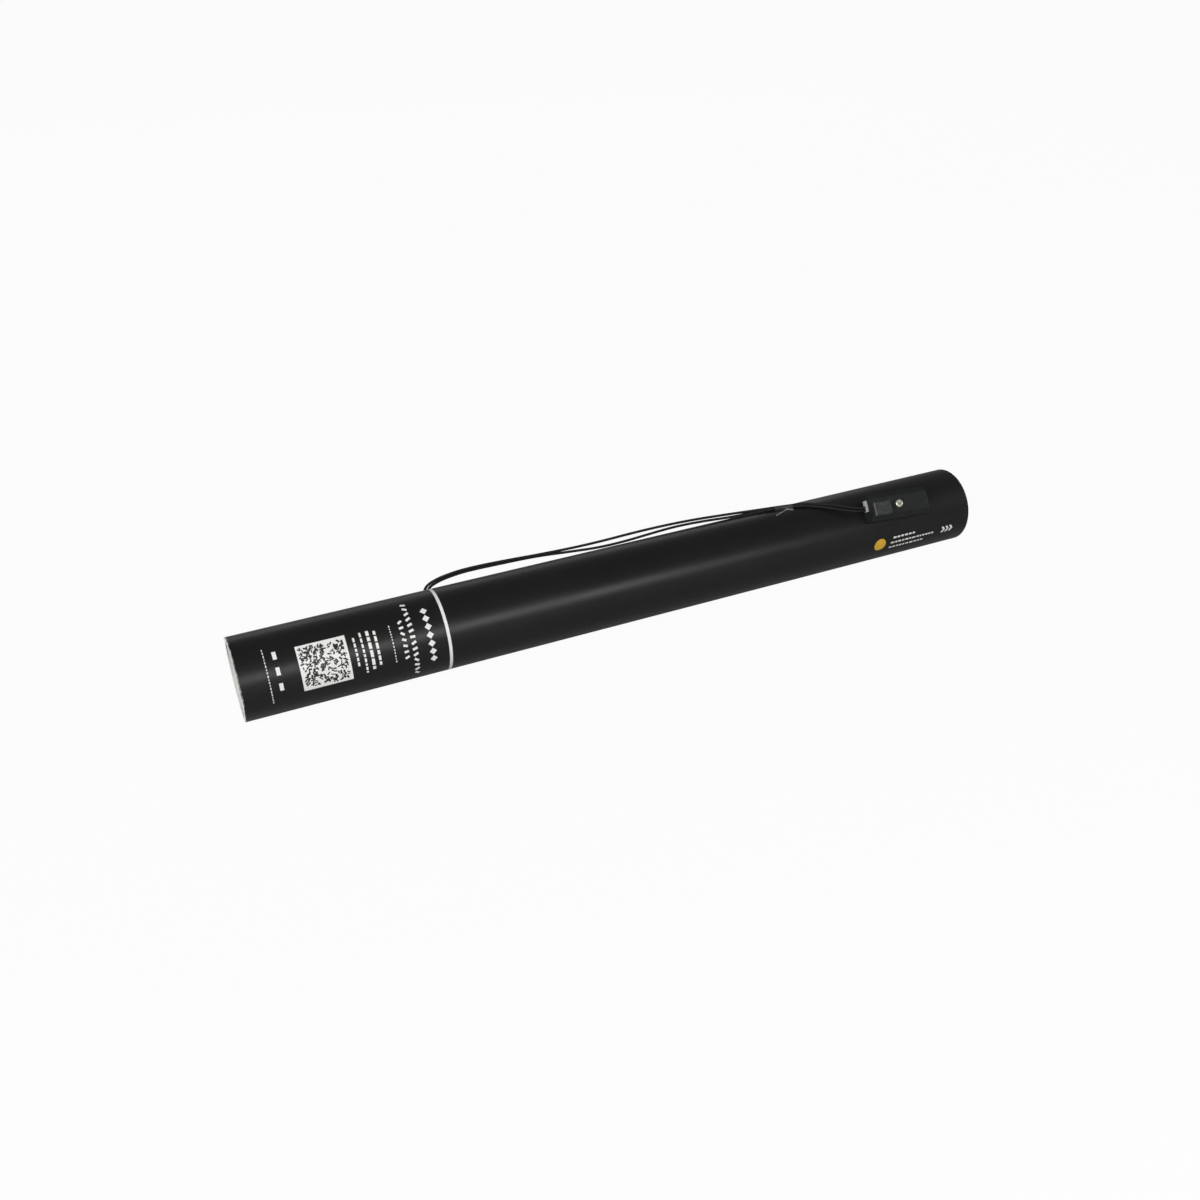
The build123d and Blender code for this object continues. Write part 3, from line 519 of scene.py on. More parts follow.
def heater_material():
    """Lacquered body with four painted bands."""
    tree = surface("heater_body", (0.30, 0.36, 0.33), (0.26, 0.32, 0.29), 0.3, Coat_Weight=0.5)
    _, y, z = split(tree, object_place(tree))
    reach = calc(tree, "ADD", calc(tree, "MULTIPLY", y, across(EXIT_ANGLE).y),
                 calc(tree, "MULTIPLY", calc(tree, "SUBTRACT", z, AXIS), across(EXIT_ANGLE).z))
    for middle, paint in BANDS:
        off = calc(tree, "ABSOLUTE", calc(tree, "SUBTRACT", reach, middle))
        paint_over(tree, calc(tree, "LESS_THAN", off, BAND_HALF), paint)


# How far the tape hides what is under it: where it lies flat, its own faint haze; where it is raised over the
# wires, a painted sheen; in patches; at its rims, a painted highlight
HAZE_FLAT = 0.006
SHEEN_WHERE_RAISED = 0.038
HAZE_PATCHES = 0.012
RIM_HIGHLIGHT = 0.33


def tape_material(settings):
    """Clear film with a faint haze of its own, made whiter and less clear by a painted sheen where it stands
    off the barrel, and by a painted highlight at its torn rims.
    """
    tree = surface("clear_tape", settings.tape_colour, shade(settings.tape_colour, 0.85), 0.22, grain=1.5,
                   depth=0.02, patches=5, stretch=(1, 0.4, 0.4), Specular_IOR_Level=0.5)
    lift = add(tree, "ShaderNodeAttribute", attribute_name="lift").outputs["Fac"]
    rim = add(tree, "ShaderNodeAttribute", attribute_name="rim").outputs["Fac"]
    cloud = node_of(tree, "GROUP").outputs["Patches"]
    # Painted sheen where the film is raised over the wires, and a painted highlight along its rims, both
    # drawn as whiter, less clear film
    haze_sheen_and_highlight = calc(tree, "ADD", remap(tree, lift, 0, 1, HAZE_FLAT, SHEEN_WHERE_RAISED),
                remap(tree, cloud, 0.4, 1, 0, HAZE_PATCHES))
    haze_sheen_and_highlight = calc(tree, "ADD", haze_sheen_and_highlight, remap(tree, rim, 0, 1, 0, RIM_HIGHLIGHT))
    tree.links.new(haze_sheen_and_highlight, tree.nodes["Principled BSDF"].inputs["Alpha"])


def plain_materials(scene):
    """The finishes that need nothing but grain, patches and rub marks."""
    plug = scene.popper_plug
    ink = scene.popper_print
    slips = scene.popper_charge.slip_colour
    sheath = scene.popper_wires.wire_colour
    fine = dict(grain=0.3, depth=0.004)
    surface("black_plastic", (0.022, 0.022, 0.023), (0.028, 0.028, 0.029), 0.48, grain=0.4, depth=0.02)
    surface("grey_foam", (0.16, 0.16, 0.165), (0.11, 0.11, 0.115), 0.95, grain=0.6, depth=0.25, patches=1.2)
    surface("bare_steel", (0.55, 0.55, 0.56), (0.48, 0.48, 0.49), 0.32, stretch=(0.1, 1, 1), Metallic=1.0,
            **fine)
    surface("brass", (0.72, 0.53, 0.24), (0.62, 0.43, 0.18), 0.28, stretch=(1, 0.15, 0.15), Metallic=1.0,
            **fine)
    surface("black_rubber", (0.025, 0.025, 0.026), (0.035, 0.035, 0.036), 0.7, grain=0.3, depth=0.02)
    surface("white_plastic", (0.72, 0.72, 0.70), (0.66, 0.66, 0.63), 0.42, depth=0.012)
    surface("plated_steel", (0.82, 0.81, 0.74), (0.66, 0.64, 0.56), 0.36, spread=0.08, grain=0.2, depth=0.006,
            patches=1.5, Metallic=1.0)
    surface("clear_nylon", (0.80, 0.82, 0.84), (0.74, 0.77, 0.80), 0.2, Transmission_Weight=0.6)
    surface("wire_sheath", sheath, shade(sheath, 1.6), 0.55, depth=0.012, patches=8, Specular_IOR_Level=0.25)
    surface("pale_plastic", plug.grip_colour, shade(plug.grip_colour, 0.8), 0.5, grain=0.3, depth=0.02,
            patches=2)
    # Rub marks on the plug are wear; the lighter colour of its rounded edges is a painted highlight, partly
    # wear
    surface("plug_plastic", plug.plug_colour, shade(plug.plug_colour, 1.3), 0.50, grain=0.28, depth=0.02,
            patches=5, rubs=(plug.edge_colour, 2.5, 0.12, 0.5), Specular_IOR_Level=0.15)
    surface("plug_edges", plug.edge_colour, plug.plug_colour, 0.42, grain=0.28, depth=0.012, patches=2.5,
            Specular_IOR_Level=0.4)
    surface("grey_board", (0.36, 0.33, 0.29), (0.29, 0.26, 0.22), 0.88, grain=0.3, depth=0.05, patches=2,
            Specular_IOR_Level=0.25)
    surface("paper_slips", slips, shade(slips, 0.93), 0.8, grain=0.4, depth=0.02, patches=6,
            Specular_IOR_Level=0.3)
    surface("pale_ink", ink.ink_colour, shade(ink.ink_colour, 0.93), 0.5, patches=1.5,
            Specular_IOR_Level=0.3, **fine)
    surface("dark_ink", ink.dark_ink_colour, shade(ink.dark_ink_colour, 1.5), 0.45, **fine)
    surface("amber_ink", ink.dot_colour, shade(ink.dot_colour, 0.9), 0.5, **fine)
    surface("paper_fibre", (0.72, 0.71, 0.68), (0.55, 0.53, 0.50), 0.9, grain=0.2, patches=1)


def materials(scene):
    """Every material by its finish, made at the first call."""
    if PREFIX + "clear_tape" not in bpy.data.materials:
        plain_materials(scene)
        wrap_material(scene.popper_barrel)
        board_material(scene.popper_barrel)
        heater_material()
        tape_material(scene.popper_wires)
    made = [material for material in bpy.data.materials if material.name.startswith(PREFIX)]
    return {material.name.removeprefix(PREFIX): material for material in made}


# What repeats. A ripple has this many waves a metre along and across a slip, and up the stack.
RIPPLE_SCALE = (60, 60, 2500)


def repeat_on_points(name):
    """Puts a shape on every point, then rolls the whole onto the barrel or ripples it."""
    tree, given, feed = node_group(
        name, "GeometryNodeTree",
        [("Points", "Geometry"), ("Shape", "Object"), ("Turn Spread", "Vector"), ("Shift Spread", "Vector"),
         ("Detail", "Int"), ("Roll", "Bool"), ("Ripple", "Float"), ("Radius", "Float"),
         ("Axis Height", "Float"), ("Seed", "Int"), ("Material", "Material")],
        [("Pieces", "Geometry")])

    def made(kind, links, output=0, **settings):
        return add(tree, kind, links, **settings).outputs[output]

    def scatter(spread, offset):
        low = vector_calc(tree, "MULTIPLY", spread, (-1, -1, -1))
        links = {0: low, 1: spread, "Seed": calc(tree, "ADD", given["Seed"], offset)}
        return made("FunctionNodeRandomValue", links, data_type="FLOAT_VECTOR")

    def stored(label):
        return made("GeometryNodeInputNamedAttribute", {"Name": label}, "Attribute", data_type="FLOAT_VECTOR")

    shift = scatter(given["Shift Spread"], 1)
    points = made("GeometryNodeSetPosition", {"Geometry": given["Points"], "Offset": shift})
    shape = made("GeometryNodeObjectInfo", {"Object": given["Shape"], "As Instance": True}, "Geometry")
    turn = vector_calc(tree, "ADD", stored("turn"), scatter(given["Turn Spread"], 2))
    links = {"Points": points, "Instance": shape, "Rotation": turn, "Scale": stored("size")}
    copies = made("GeometryNodeInstanceOnPoints", links)
    whole = made("GeometryNodeRealizeInstances", {0: copies})
    whole = made("GeometryNodeSubdivideMesh", {"Mesh": whole, "Level": given["Detail"]})
    place = made("GeometryNodeInputPosition", {})
    x, y, z = split(tree, place)
    turned = calc(tree, "DIVIDE", y, given["Radius"])
    reach = calc(tree, "ADD", given["Radius"], z)
    front = calc(tree, "MULTIPLY", reach, calc(tree, "SINE", turned))
    up = calc(tree, "MULTIPLY", reach, calc(tree, "COSINE", turned))
    rolled = joined(tree, x=x, y=calc(tree, "MULTIPLY", front, -1.0),
                    z=calc(tree, "ADD", given["Axis Height"], up))
    scaled = vector_calc(tree, "MULTIPLY", place, RIPPLE_SCALE)
    waves = made("ShaderNodeTexNoise", {"Vector": scaled, "Scale": 1.0, "Detail": 0.0}, "Fac")
    lift = calc(tree, "MULTIPLY", calc(tree, "SUBTRACT", waves, 0.5), given["Ripple"])
    rippled = vector_calc(tree, "ADD", place, joined(tree, z=lift))
    links = {"Switch": given["Roll"], "False": rippled, "True": rolled}
    where = made("GeometryNodeSwitch", links, input_type="VECTOR")
    whole = made("GeometryNodeSetPosition", {"Geometry": whole, "Position": where})
    feed("Pieces", made("GeometryNodeSetMaterial", {"Geometry": whole, "Material": given["Material"]}))
    return tree


def repeat(name, marks, shape, material, **inputs):
    """One mesh of a shape repeated at marks, each a place, a size and a turn."""
    piece = new_object(name)
    mesh = piece.data
    mesh.from_pydata([place for place, _, _ in marks], [], [])
    for key, column in (("size", 1), ("turn", 2)):
        stored = mesh.attributes.new(key, "FLOAT_VECTOR", "POINT")
        stored.data.foreach_set("vector", [float(x) for mark in marks for x in mark[column]])
    tree = shared_group(repeat_on_points)
    modifier = piece.modifiers.new("Repeat", "NODES")
    modifier.node_group = tree
    keys = {item.name: item.identifier for item in tree.interface.items_tree if item.in_out == "INPUT"}
    values = {"Shape": shape, "Material": material, "Detail": 0, "Roll": False, "Ripple": 0.0,
              "Radius": RADIUS, "Axis_Height": AXIS, "Turn_Spread": (0.0, 0.0, 0.0),
              "Shift_Spread": (0.0, 0.0, 0.0), "Seed": 1}
    for label, value in {**values, **inputs}.items():
        modifier[keys[label.replace("_", " ")]] = value
    plain_mesh(piece)
    bpy.data.objects.remove(shape)
    return piece


# Barrel: the wrap's seam in degrees round the barrel, and its waves and frayed ends
SEAM_ANGLE = -150.0
SEAM_OVERLAP = 8.0
SEAM_CLIMB = 20.0
STEP_ROUND = 1.25
WRAP_WAVE = 0.012 * MM
WAVES_ALONG = 40
WAVES_ROUND = 2
FRAY_LEAST = 0.1 * MM
FRAY_ROUND = 30
FRAY_OTHER_END = 7.0

# Loose fibres and chips of print at the base: lengths in mm, the lean in radians, angles in degrees
FIBRE_STATIONS = (-0.15, 0.15)
FIBRE_FEET = (-0.5, 0.08)
FIBRE_LENGTHS = (0.25, 0.8)
FIBRE_THICKNESS = 0.07
FIBRE_LEAN = 0.8
FIBRE_SPREAD = (0.5, 0.4, 0.6)
FIBRE_SEED = 5
CHIP_ANGLES = (-60, 140)
CHIP_STATIONS = (0.1, 0.7)
CHIP_WIDE = (0.15, 0.5)
CHIP_TALL = (0.2, 0.8)
CHIP_SPREAD = (0, 0, 0.7)

# Print: how far it stands off the wrap, and its thickness
INK_LIFT = 0.02 * MM
INK_DEPTH = 0.03 * MM


def smoothstep(x):
    x = min(1.0, max(0.0, x))
    return x * x * (3 - 2 * x)


def waver(*place):
    """Smooth noise from 0 to 1."""
    return noise.noise(place) * 0.5 + 0.5


def wrap_radius(settings, station, sweep):
    """Radius of the wrap's underside, after a sweep in degrees from the seam."""
    climb = smoothstep((sweep - 360 + SEAM_CLIMB) / SEAM_CLIMB)
    turn = radians(sweep)
    wave = waver(station * WAVES_ALONG, cos(turn) * WAVES_ROUND, sin(turn) * WAVES_ROUND)
    return RADIUS + settings.wrap_gap + settings.seam_lift * climb + WRAP_WAVE * wave


def ink_height(settings):
    """Height of the print over the board."""
    return settings.wrap_gap + WRAP_WAVE + settings.wrap_thickness + INK_LIFT


def flat_shape(name, points, faces=None):
    """A closed thin plate with its top at zero, from the points round its edge and the faces between them."""
    number = len(points)
    faces = faces or [range(number)]
    corners = [(x, y, z) for z in (0, -INK_DEPTH) for x, y in points]
    under = [[number + k for k in reversed(face)] for face in faces]
    around = [(k, number + k, number + (k + 1) % number, (k + 1) % number) for k in range(number)]
    plate = new_object(name)
    plate.data.from_pydata(corners, [], [*faces, *under, *around])
    return plate


def square():
    return flat_shape("square", [(-0.5, -0.5), (0.5, -0.5), (0.5, 0.5), (-0.5, 0.5)])


def mark(height, station, angle, wide, tall, turn=0.0):
    """A mark at a height over the board: its middle, its size along and round the barrel, and its turn.

    The station and the size are in mm, the angle and the turn in degrees.
    """
    place = (BASE + station * MM, radians(angle) * RADIUS, height)
    return place, (wide * MM, tall * MM, 1), (0, 0, radians(turn))


def cut_exit(piece):
    """Cuts the hole that the wires' bush stands in."""
    cutter = new_object("exit_cutter")
    turn = outward(EXIT_ANGLE).to_track_quat("Z", "Y").to_matrix().to_4x4()
    spot = Matrix.Translation(on_barrel(EXIT_STATION, EXIT_ANGLE, RADIUS)) @ turn
    with editing(cutter.data) as shape:
        bmesh.ops.create_cone(shape, cap_ends=True, segments=48, radius1=EXIT_HOLE,
                              radius2=EXIT_HOLE, depth=2 * EXIT_HOLE, matrix=spot)
    hole = piece.modifiers.new("Exit hole", "BOOLEAN")
    hole.operation = "DIFFERENCE"
    hole.object = cutter
    plain_mesh(piece)
    bpy.data.objects.remove(cutter)


class POPPER_OT_barrel(Operator):
    """Wraps the barrel in printed paper and dresses its raw ends"""
    bl_idname = "popper.barrel"
    bl_label = "Barrel wrap"

    def execute(self, context):
        settings = context.scene.popper_barrel
        paint = materials(context.scene)
        frame["nodes"]["barrel_tube"].material_slots[0].material = paint["raw_board"]
        self.add_wrap(settings, paint["black_wrap"])
        self.add_fibres(settings, paint["paper_fibre"])
        cap = softened("base_cap", "base_cap_shell", settings.cap_edge_width, paint["black_plastic"])
        fit(cap, "barrel", ["base_cap"])
        return {"FINISHED"}

    def add_wrap(self, settings, material):
        """The paper, from one frayed end to the other and past its own start at the seam."""
        sweep_all = 360 + SEAM_OVERLAP

        def fray(sweep, end):
            turn = radians(sweep)
            ragged = waver(cos(turn) * FRAY_ROUND, sin(turn) * FRAY_ROUND, end * FRAY_OTHER_END)
            return settings.edge_fray * ragged ** 2 + FRAY_LEAST

        def place(u, v, lift):
            sweep = v * sweep_all
            start = fray(sweep, 0)
            station = start + (LENGTH - fray(sweep, 1) - start) * u
            return on_barrel(station, SEAM_ANGLE + sweep, wrap_radius(settings, station, sweep) + lift)

        columns = round(sweep_all / STEP_ROUND)
        wrap = thin_sheet("barrel_wrap", place, settings.wrap_thickness, material, rows=80, columns=columns)
        cut_exit(wrap)
        fit(wrap, "barrel")

    def add_fibres(self, settings, material):
        """Loose fibres round the base's outer edge, and chips where the print has flaked."""
        draw = random.Random(FIBRE_SEED)
        fibres = []
        chips = []
        for _ in range(settings.fibre_count):
            angle = draw.uniform(0, 360)
            station = draw.uniform(*FIBRE_STATIONS) * MM
            foot = on_barrel(station, angle, RADIUS + draw.uniform(*FIBRE_FEET) * MM)
            extent = (draw.uniform(*FIBRE_LENGTHS) * MM, FIBRE_THICKNESS * MM, FIBRE_THICKNESS * MM)
            lean = draw.uniform(-FIBRE_LEAN, FIBRE_LEAN)
            fibres.append((foot, extent, (radians(angle), lean, 0)))
            angle = draw.uniform(*CHIP_ANGLES)
            station = draw.uniform(*CHIP_STATIONS)
            wide = draw.uniform(*CHIP_WIDE)
            chips.append(mark(ink_height(settings), station, angle, wide, draw.uniform(*CHIP_TALL)))
        sliver = new_object("sliver")
        corners = [(0, 1, 0), (0, -0.5, 0.87), (0, -0.5, -0.87), (-1, 0.2, 0)]
        sliver.data.from_pydata(corners, [], [(0, 2, 1), (0, 1, 3), (1, 2, 3), (2, 0, 3)])
        rim = repeat("base_fibres", fibres, sliver, material, Turn_Spread=FIBRE_SPREAD, Seed=3)
        fit(rim, "barrel")
        flakes = repeat("base_chips", chips, square(), material, Roll=True, Turn_Spread=CHIP_SPREAD, Seed=4)
        fit(flakes, "barrel")


# Printed marks: stations and sizes in mm, with wide along the barrel and tall round it, angles in degrees
PANEL = (48.5, 62, 28.4, 27.0)  # station, angle, wide, tall
PANEL_SLIP_STATIONS = (36.2, 60.8)
PANEL_SLIP_ANGLES = (35, 89)
PANEL_SLIP_WIDE = (1.3, 2.6)
PANEL_SLIP_TALL = (0.6, 1.0)
DIAMONDS = (110.7, 24, 11.5, 7)  # station, first angle, step, number
DIAMOND_SIDE = 3.1
TUMBLING_SLIPS = ((100.4, 6, 14, 3.0, 1.5), (95.2, 32, 7, 2.6, 1.4))  # station, first angle, number, size
TUMBLING_STEP = 8.2
TUMBLING_TURN = 40
ROUND_ROWS = ((88.5, 33, 88, 0.6), (79.4, 35, 82, 1.5), (75.4, 33, 86, 1.8), (71.2, 33, 89, 1.2),
              (67.0, 38, 80, 1.2), (16.6, 24, 102, 0.6))  # station, first and last angle, wide
ROUND_ROW_LONGEST = 2.5  # longest dash, as a share of the row's width
BAR_STATION = 22.5
BAR_ANGLES = (36, 57, 78)
BAR_SIZE = (2.2, 4.6)
LONG_ROWS = ((87.5, 437, 456), (96.5, 435.5, 471), (105.5, 435, 463))  # angle, first and last station
LONG_ROW_TALL = 1.3
LONG_ROW_LONGEST = 3.0
DASH_GAP = 0.8
DASH_SHARES = (0.4, 1.0)
ARROWS = (479.2, 3.2, 96, 3)  # first station, step, angle, number
ARROW_OUTLINE = ((-1.7, -2.4), (0, -2.4), (1.7, 0), (0, 2.4), (-1.7, 2.4), (0, 0))
ARROW_FACES = ((0, 1, 2, 5), (5, 2, 3, 4))
DOT = (426.6, 95, 4.6, 4.6)  # station, angle, radius along and round
DOT_SIDES = 32


def dashes(draw, low, high, longest):
    """Splits a line into dashes of uneven length."""
    found = []
    while high - low > DASH_GAP:
        end = min(high, low + draw.uniform(*DASH_SHARES) * longest)
        found.append((low, end))
        low = end + DASH_GAP
    return found


class POPPER_OT_print(Operator):
    """Prints the ring, the panel and the plain marks on the wrap"""
    bl_idname = "popper.print"
    bl_label = "Printed marks"

    def execute(self, context):
        settings = context.scene.popper_print
        barrel = context.scene.popper_barrel
        paint = materials(context.scene)
        draw = random.Random(settings.seed)
        height = ink_height(barrel)
        self.add_ring(settings, barrel, paint["pale_ink"])
        slips = self.panel_slips(settings.panel_slips, draw, height)
        lines = self.base_marks(draw, height) + self.muzzle_marks(draw, height)
        first, step, angle, number = ARROWS
        arrows = [mark(height, first + step * k, angle, 1, 1) for k in range(number)]
        turns = [2 * pi * k / DOT_SIDES for k in range(DOT_SIDES)]
        dot = flat_shape("dot", [(cos(turn), sin(turn)) for turn in turns])
        prints = (("print_panel", [mark(height, *PANEL)], square(), "pale_ink", 5),
                  ("print_panel_slips", slips, square(), "dark_ink", 2),
                  ("print_lines", lines, square(), "pale_ink", 2),
                  ("print_arrows", arrows, flat_shape("arrow", ARROW_OUTLINE, ARROW_FACES), "pale_ink", 2),
                  ("print_dot", [mark(height, *DOT)], dot, "amber_ink", 3))
        for name, marks, shape, ink, detail in prints:
            fit(repeat(name, marks, shape, paint[ink], Roll=True, Detail=detail), "barrel")
        return {"FINISHED"}

    def add_ring(self, settings, barrel, material):
        """A ring that follows the wrap from the end of its overlap once round."""
        def place(u, v, lift):
            sweep = SEAM_OVERLAP + 360 * v
            station = settings.ring_start + settings.ring_width * u
            skin = wrap_radius(barrel, station, sweep) + barrel.wrap_thickness
            return on_barrel(station, SEAM_ANGLE + sweep, skin + INK_LIFT / 2 + lift)

        columns = round(360 / STEP_ROUND)
        ring = thin_sheet("print_ring", place, INK_LIFT / 4, material, rows=2, columns=columns)
        cut_exit(ring)
        fit(ring, "barrel")

    def panel_slips(self, number, draw, height):
        """Dark slips scattered on the panel, each a little higher than the one before."""
        slips = []
        for k in range(number):
            station = draw.uniform(*PANEL_SLIP_STATIONS)
            angle = draw.uniform(*PANEL_SLIP_ANGLES)
            turn = draw.uniform(0, 180)
            wide = draw.uniform(*PANEL_SLIP_WIDE)
            tall = draw.uniform(*PANEL_SLIP_TALL)
            slips.append(mark(height + INK_LIFT * (1 + k / number), station, angle, wide, tall, turn))
        return slips

    def base_marks(self, draw, height):
        """Diamonds, tumbling slips, rows of dashes round the barrel and plain bars, near the base."""
        station, first, step, number = DIAMONDS
        marks = [mark(height, station, first + step * k, DIAMOND_SIDE, DIAMOND_SIDE, turn=45)
                 for k in range(number)]
        for station, first, number, wide, tall in TUMBLING_SLIPS:
            for k in range(number):
                turn = draw.uniform(-TUMBLING_TURN, TUMBLING_TURN)
                marks.append(mark(height, station, first + TUMBLING_STEP * k, wide, tall, turn))
        for station, low, high, wide in ROUND_ROWS:
            low, high = (radians(angle) * RADIUS / MM for angle in (low, high))
            for start, end in dashes(draw, low, high, ROUND_ROW_LONGEST * wide):
                angle = degrees((start + end) / 2 * MM / RADIUS)
                marks.append(mark(height, station, angle, wide, end - start))
        return marks + [mark(height, BAR_STATION, angle, *BAR_SIZE) for angle in BAR_ANGLES]

    def muzzle_marks(self, draw, height):
        """Rows of dashes along the barrel, near the muzzle."""
        marks = []
        for angle, low, high in LONG_ROWS:
            for start, end in dashes(draw, low, high, LONG_ROW_LONGEST):
                marks.append(mark(height, (start + end) / 2, angle, end - start, LONG_ROW_TALL))
        return marks


# Wires and tape: the tape's torn front end, its saw-cut ends and how it lies over the wires
LINE_STEPS = 8
TAPE_FRONT_REACH = 0.0056
TAPE_TEAR_START = 0.0016
TAPE_TEAR = 45.0
TAPE_RIM = 0.0018
TAPE_STANDOFF = 0.15 * MM
TAPE_CLEAR = 0.05 * MM
TAPE_REACH = 3 * TAPE_WIDTH
SAW_TEETH = 14
SAW_DEPTH = 0.4 * MM
SLOPES_FELT = 3


def wire_curve(name, points, material):
    """A smooth line through a route, with the route's points as its control points."""
    curve = bpy.data.curves.new(name, "CURVE")
    curve.dimensions = "3D"
    curve.resolution_u = 10
    spline = curve.splines.new("NURBS")
    spline.points.add(len(points) - 1)
    for slot, place in zip(spline.points, points):
        slot.co = (*place, 1)
    spline.order_u = 3
    spline.use_endpoint_u = True
    return new_object(name, curve, material)


def wire_line(wire):
    """Close points along a wire's middle, before it gets its thickness."""
    ends = [vertex.co.copy() for vertex in evaluated_mesh(wire).vertices]
    return [a.lerp(b, k / LINE_STEPS) for a, b in zip(ends, ends[1:]) for k in range(LINE_STEPS)]


class POPPER_OT_wires(Operator):
    """Lays the two wires from the trigger to the plug, and the clear tape over them"""
    bl_idname = "popper.wires"
    bl_label = "Wires and tape"

    def execute(self, context):
        settings = context.scene.popper_wires
        paint = materials(context.scene)
        lines = []
        rows = (("lead_wire_upper", ROUTE_A, GRIP_SIDE_A, "lead_wire_a", settings.wire_a_length),
                ("lead_wire_lower", ROUTE_B, GRIP_SIDE_B, "lead_wire_b", settings.wire_b_length))
        for name, route, side, node, length in rows:
            points = [on_barrel(*point) for point in route]
            points += [on_plug(x, side, PLUG_WIRE_HEIGHT) for x in GRIP_ENTRY]
            wire = wire_curve(name, points, paint["wire_sheath"])
            lines += wire_line(wire)
            wire.data.bevel_depth = settings.wire_diameter / 2
            wire.data.bevel_resolution = 4
            wire.data.use_fill_caps = True
            fit(wire, "barrel", [node])
            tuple(points[0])
        self.lay_tape(settings, lines, paint["clear_tape"])
        return {"FINISHED"}

    def wire_top(self, point, diameter):
        """A place on a wire's line as a station, an arc round the barrel and the radius of the wire's top."""
        reach = hypot(point.y, point.z - AXIS)
        return point.x - BASE, asin(-point.y / reach) * RADIUS, reach + diameter / 2

    def lay_tape(self, settings, line, material):
        """A strip that follows the barrel and rises over the wires, with saw-cut ends and a torn corner."""
        near = [point for point in line if abs(point.x - BASE - TAPE_STATION) < TAPE_REACH]
        tops = [self.wire_top(point, settings.wire_diameter) for point in near]
        foot = RADIUS + TAPE_STANDOFF
        slant = radians(TAPE_SLANT)
        lifts = []
        rim_highlight_shares = []

        def place(u, v, lift):
            x = (u - 0.5) * TAPE_WIDTH
            saw = abs((u * SAW_TEETH) % 1.0 - 0.5) * 2 * SAW_DEPTH
            back = (RADIUS * sin(radians(TAPE_ANGLE - TAPE_BACK_ANGLE)) + x * sin(slant)) / cos(slant)
            front = TAPE_FRONT_REACH + max(0.0, TAPE_TEAR_START - x) * tan(radians(TAPE_TEAR))
            y = -front + saw + (back + front - 2 * saw) * v
            station = TAPE_STATION + x * cos(slant) + y * sin(slant)
            side = (y * cos(slant) - x * sin(slant)) / RADIUS
            turn = radians(TAPE_ANGLE) - asin(max(-1.0, min(1.0, side)))
            rise = 0.0
            for wire_station, arc, top in tops:
                off = hypot(station - wire_station, turn * RADIUS - arc) / settings.tape_slope
                if off < SLOPES_FELT:
                    rise = max(rise, (top + TAPE_CLEAR - foot) * exp(-off * off))
            # How far the film is raised, which its painted sheen follows, and how near it is to a rim, where
            # its painted highlight lies
            lifts.append(min(1.0, rise / settings.wire_diameter))
            rim_highlight_shares.append(max(0.0, 1 - min(v, 1 - v) * (back + front) / TAPE_RIM))
            return on_barrel(station, degrees(turn), foot + rise + lift)

        tape = thin_sheet("tape_film", place, settings.tape_thickness, material, rows=42, columns=90)
        # Stored for the tape's painted sheen and its painted rim highlight
        for key, values in (("lift", lifts), ("rim", rim_highlight_shares)):
            stored = tape.data.attributes.new(key, "FLOAT", "POINT")
            stored.data.foreach_set("value", values)
        fit(tape, "barrel", ["tape_strip"])


# Plug: the grip block starts this far over the cover's face.
BLOCK_FOOT = 0.1 * MM


class POPPER_OT_plug(Operator):
    """Rounds the edges of the plug's halves, of the grip on the wires and of the guard on the blades"""
    bl_idname = "popper.plug"
    bl_label = "Plug"

    def execute(self, context):
        settings = context.scene.popper_plug
        paint = materials(context.scene)
        edge = settings.edge_width
        # The halves' rounded edges get the paler edge finish, a painted highlight with some wear; the guard's
        # edges keep the plain finish
        rows = (("plug_base", "plug_base_half", "barrel", edge, "plug_plastic", "plug_edges"),
                ("plug_cover", "plug_cover_half", "barrel", edge, "plug_plastic", "plug_edges"),
                ("blade_guard", "blade_guard_sleeve", "guard", edge, "plug_plastic", "plug_plastic"),
                ("cord_grip", "cord_grip_block", "barrel", settings.grip_edge_width, "pale_plastic",
                 "pale_plastic"))
        for node, name, body, width, finish, edge_finish in rows:
            piece = softened(node, name, width, paint[finish], paint[edge_finish])
            if node == "plug_cover":
                self.lighten_block(piece)
            fit(piece, body, [node])
        return {"FINISHED"}

    def lighten_block(self, cover):
        """Paints the raised grip block paler, with the finish of the plug's edges."""
        top = on_plug(0, 0, PLUG_HEIGHT + BLOCK_FOOT)
        # Every face of the raised block is painted paler
        for face in cover.data.polygons:
            if (face.center - top).dot(outward(PLUG_FACE_ANGLE)) > 0:
                face.material_index = 1


# Charge: how far the slips lie out of line
SLIP_TURN = (0, 0, radians(0.35))
SLIP_SHIFT = (0.35 * MM, 0.12 * MM, 0.02 * MM)


def slip_shape():
    """A block of size 1 with cuts across its length."""
    slip = new_object("slip")
    with editing(slip.data) as shape:
        bmesh.ops.create_cube(shape, size=1.0)
        along = [edge for edge in shape.edges if abs(edge.verts[0].co.x - edge.verts[1].co.x) > 0.5]
        bmesh.ops.subdivide_edges(shape, edges=along, cuts=4, use_grid_fill=True)
    return slip


def stacks(node):
    """The corners of each stack in a layer, from the layer's separate blocks."""
    shape = bmesh.new()
    shape.from_mesh(frame["nodes"][node].data)
    bmesh.ops.remove_doubles(shape, verts=shape.verts, dist=WELD)
    left = set(shape.verts)
    found = []
    while left:
        fresh = [left.pop()]
        corners = []
        while fresh:
            corners += [vertex.co.copy() for vertex in fresh]
            beside = {edge.other_vert(vertex) for vertex in fresh for edge in vertex.link_edges}
            fresh = [vertex for vertex in beside if vertex in left]
            left.difference_update(fresh)
        found.append([Vector(map(pick, zip(*corners))) for pick in (min, max)])
    shape.free()
    return sorted(found, key=lambda box: (round(box[0].y, 5), round(box[0].z, 5)))


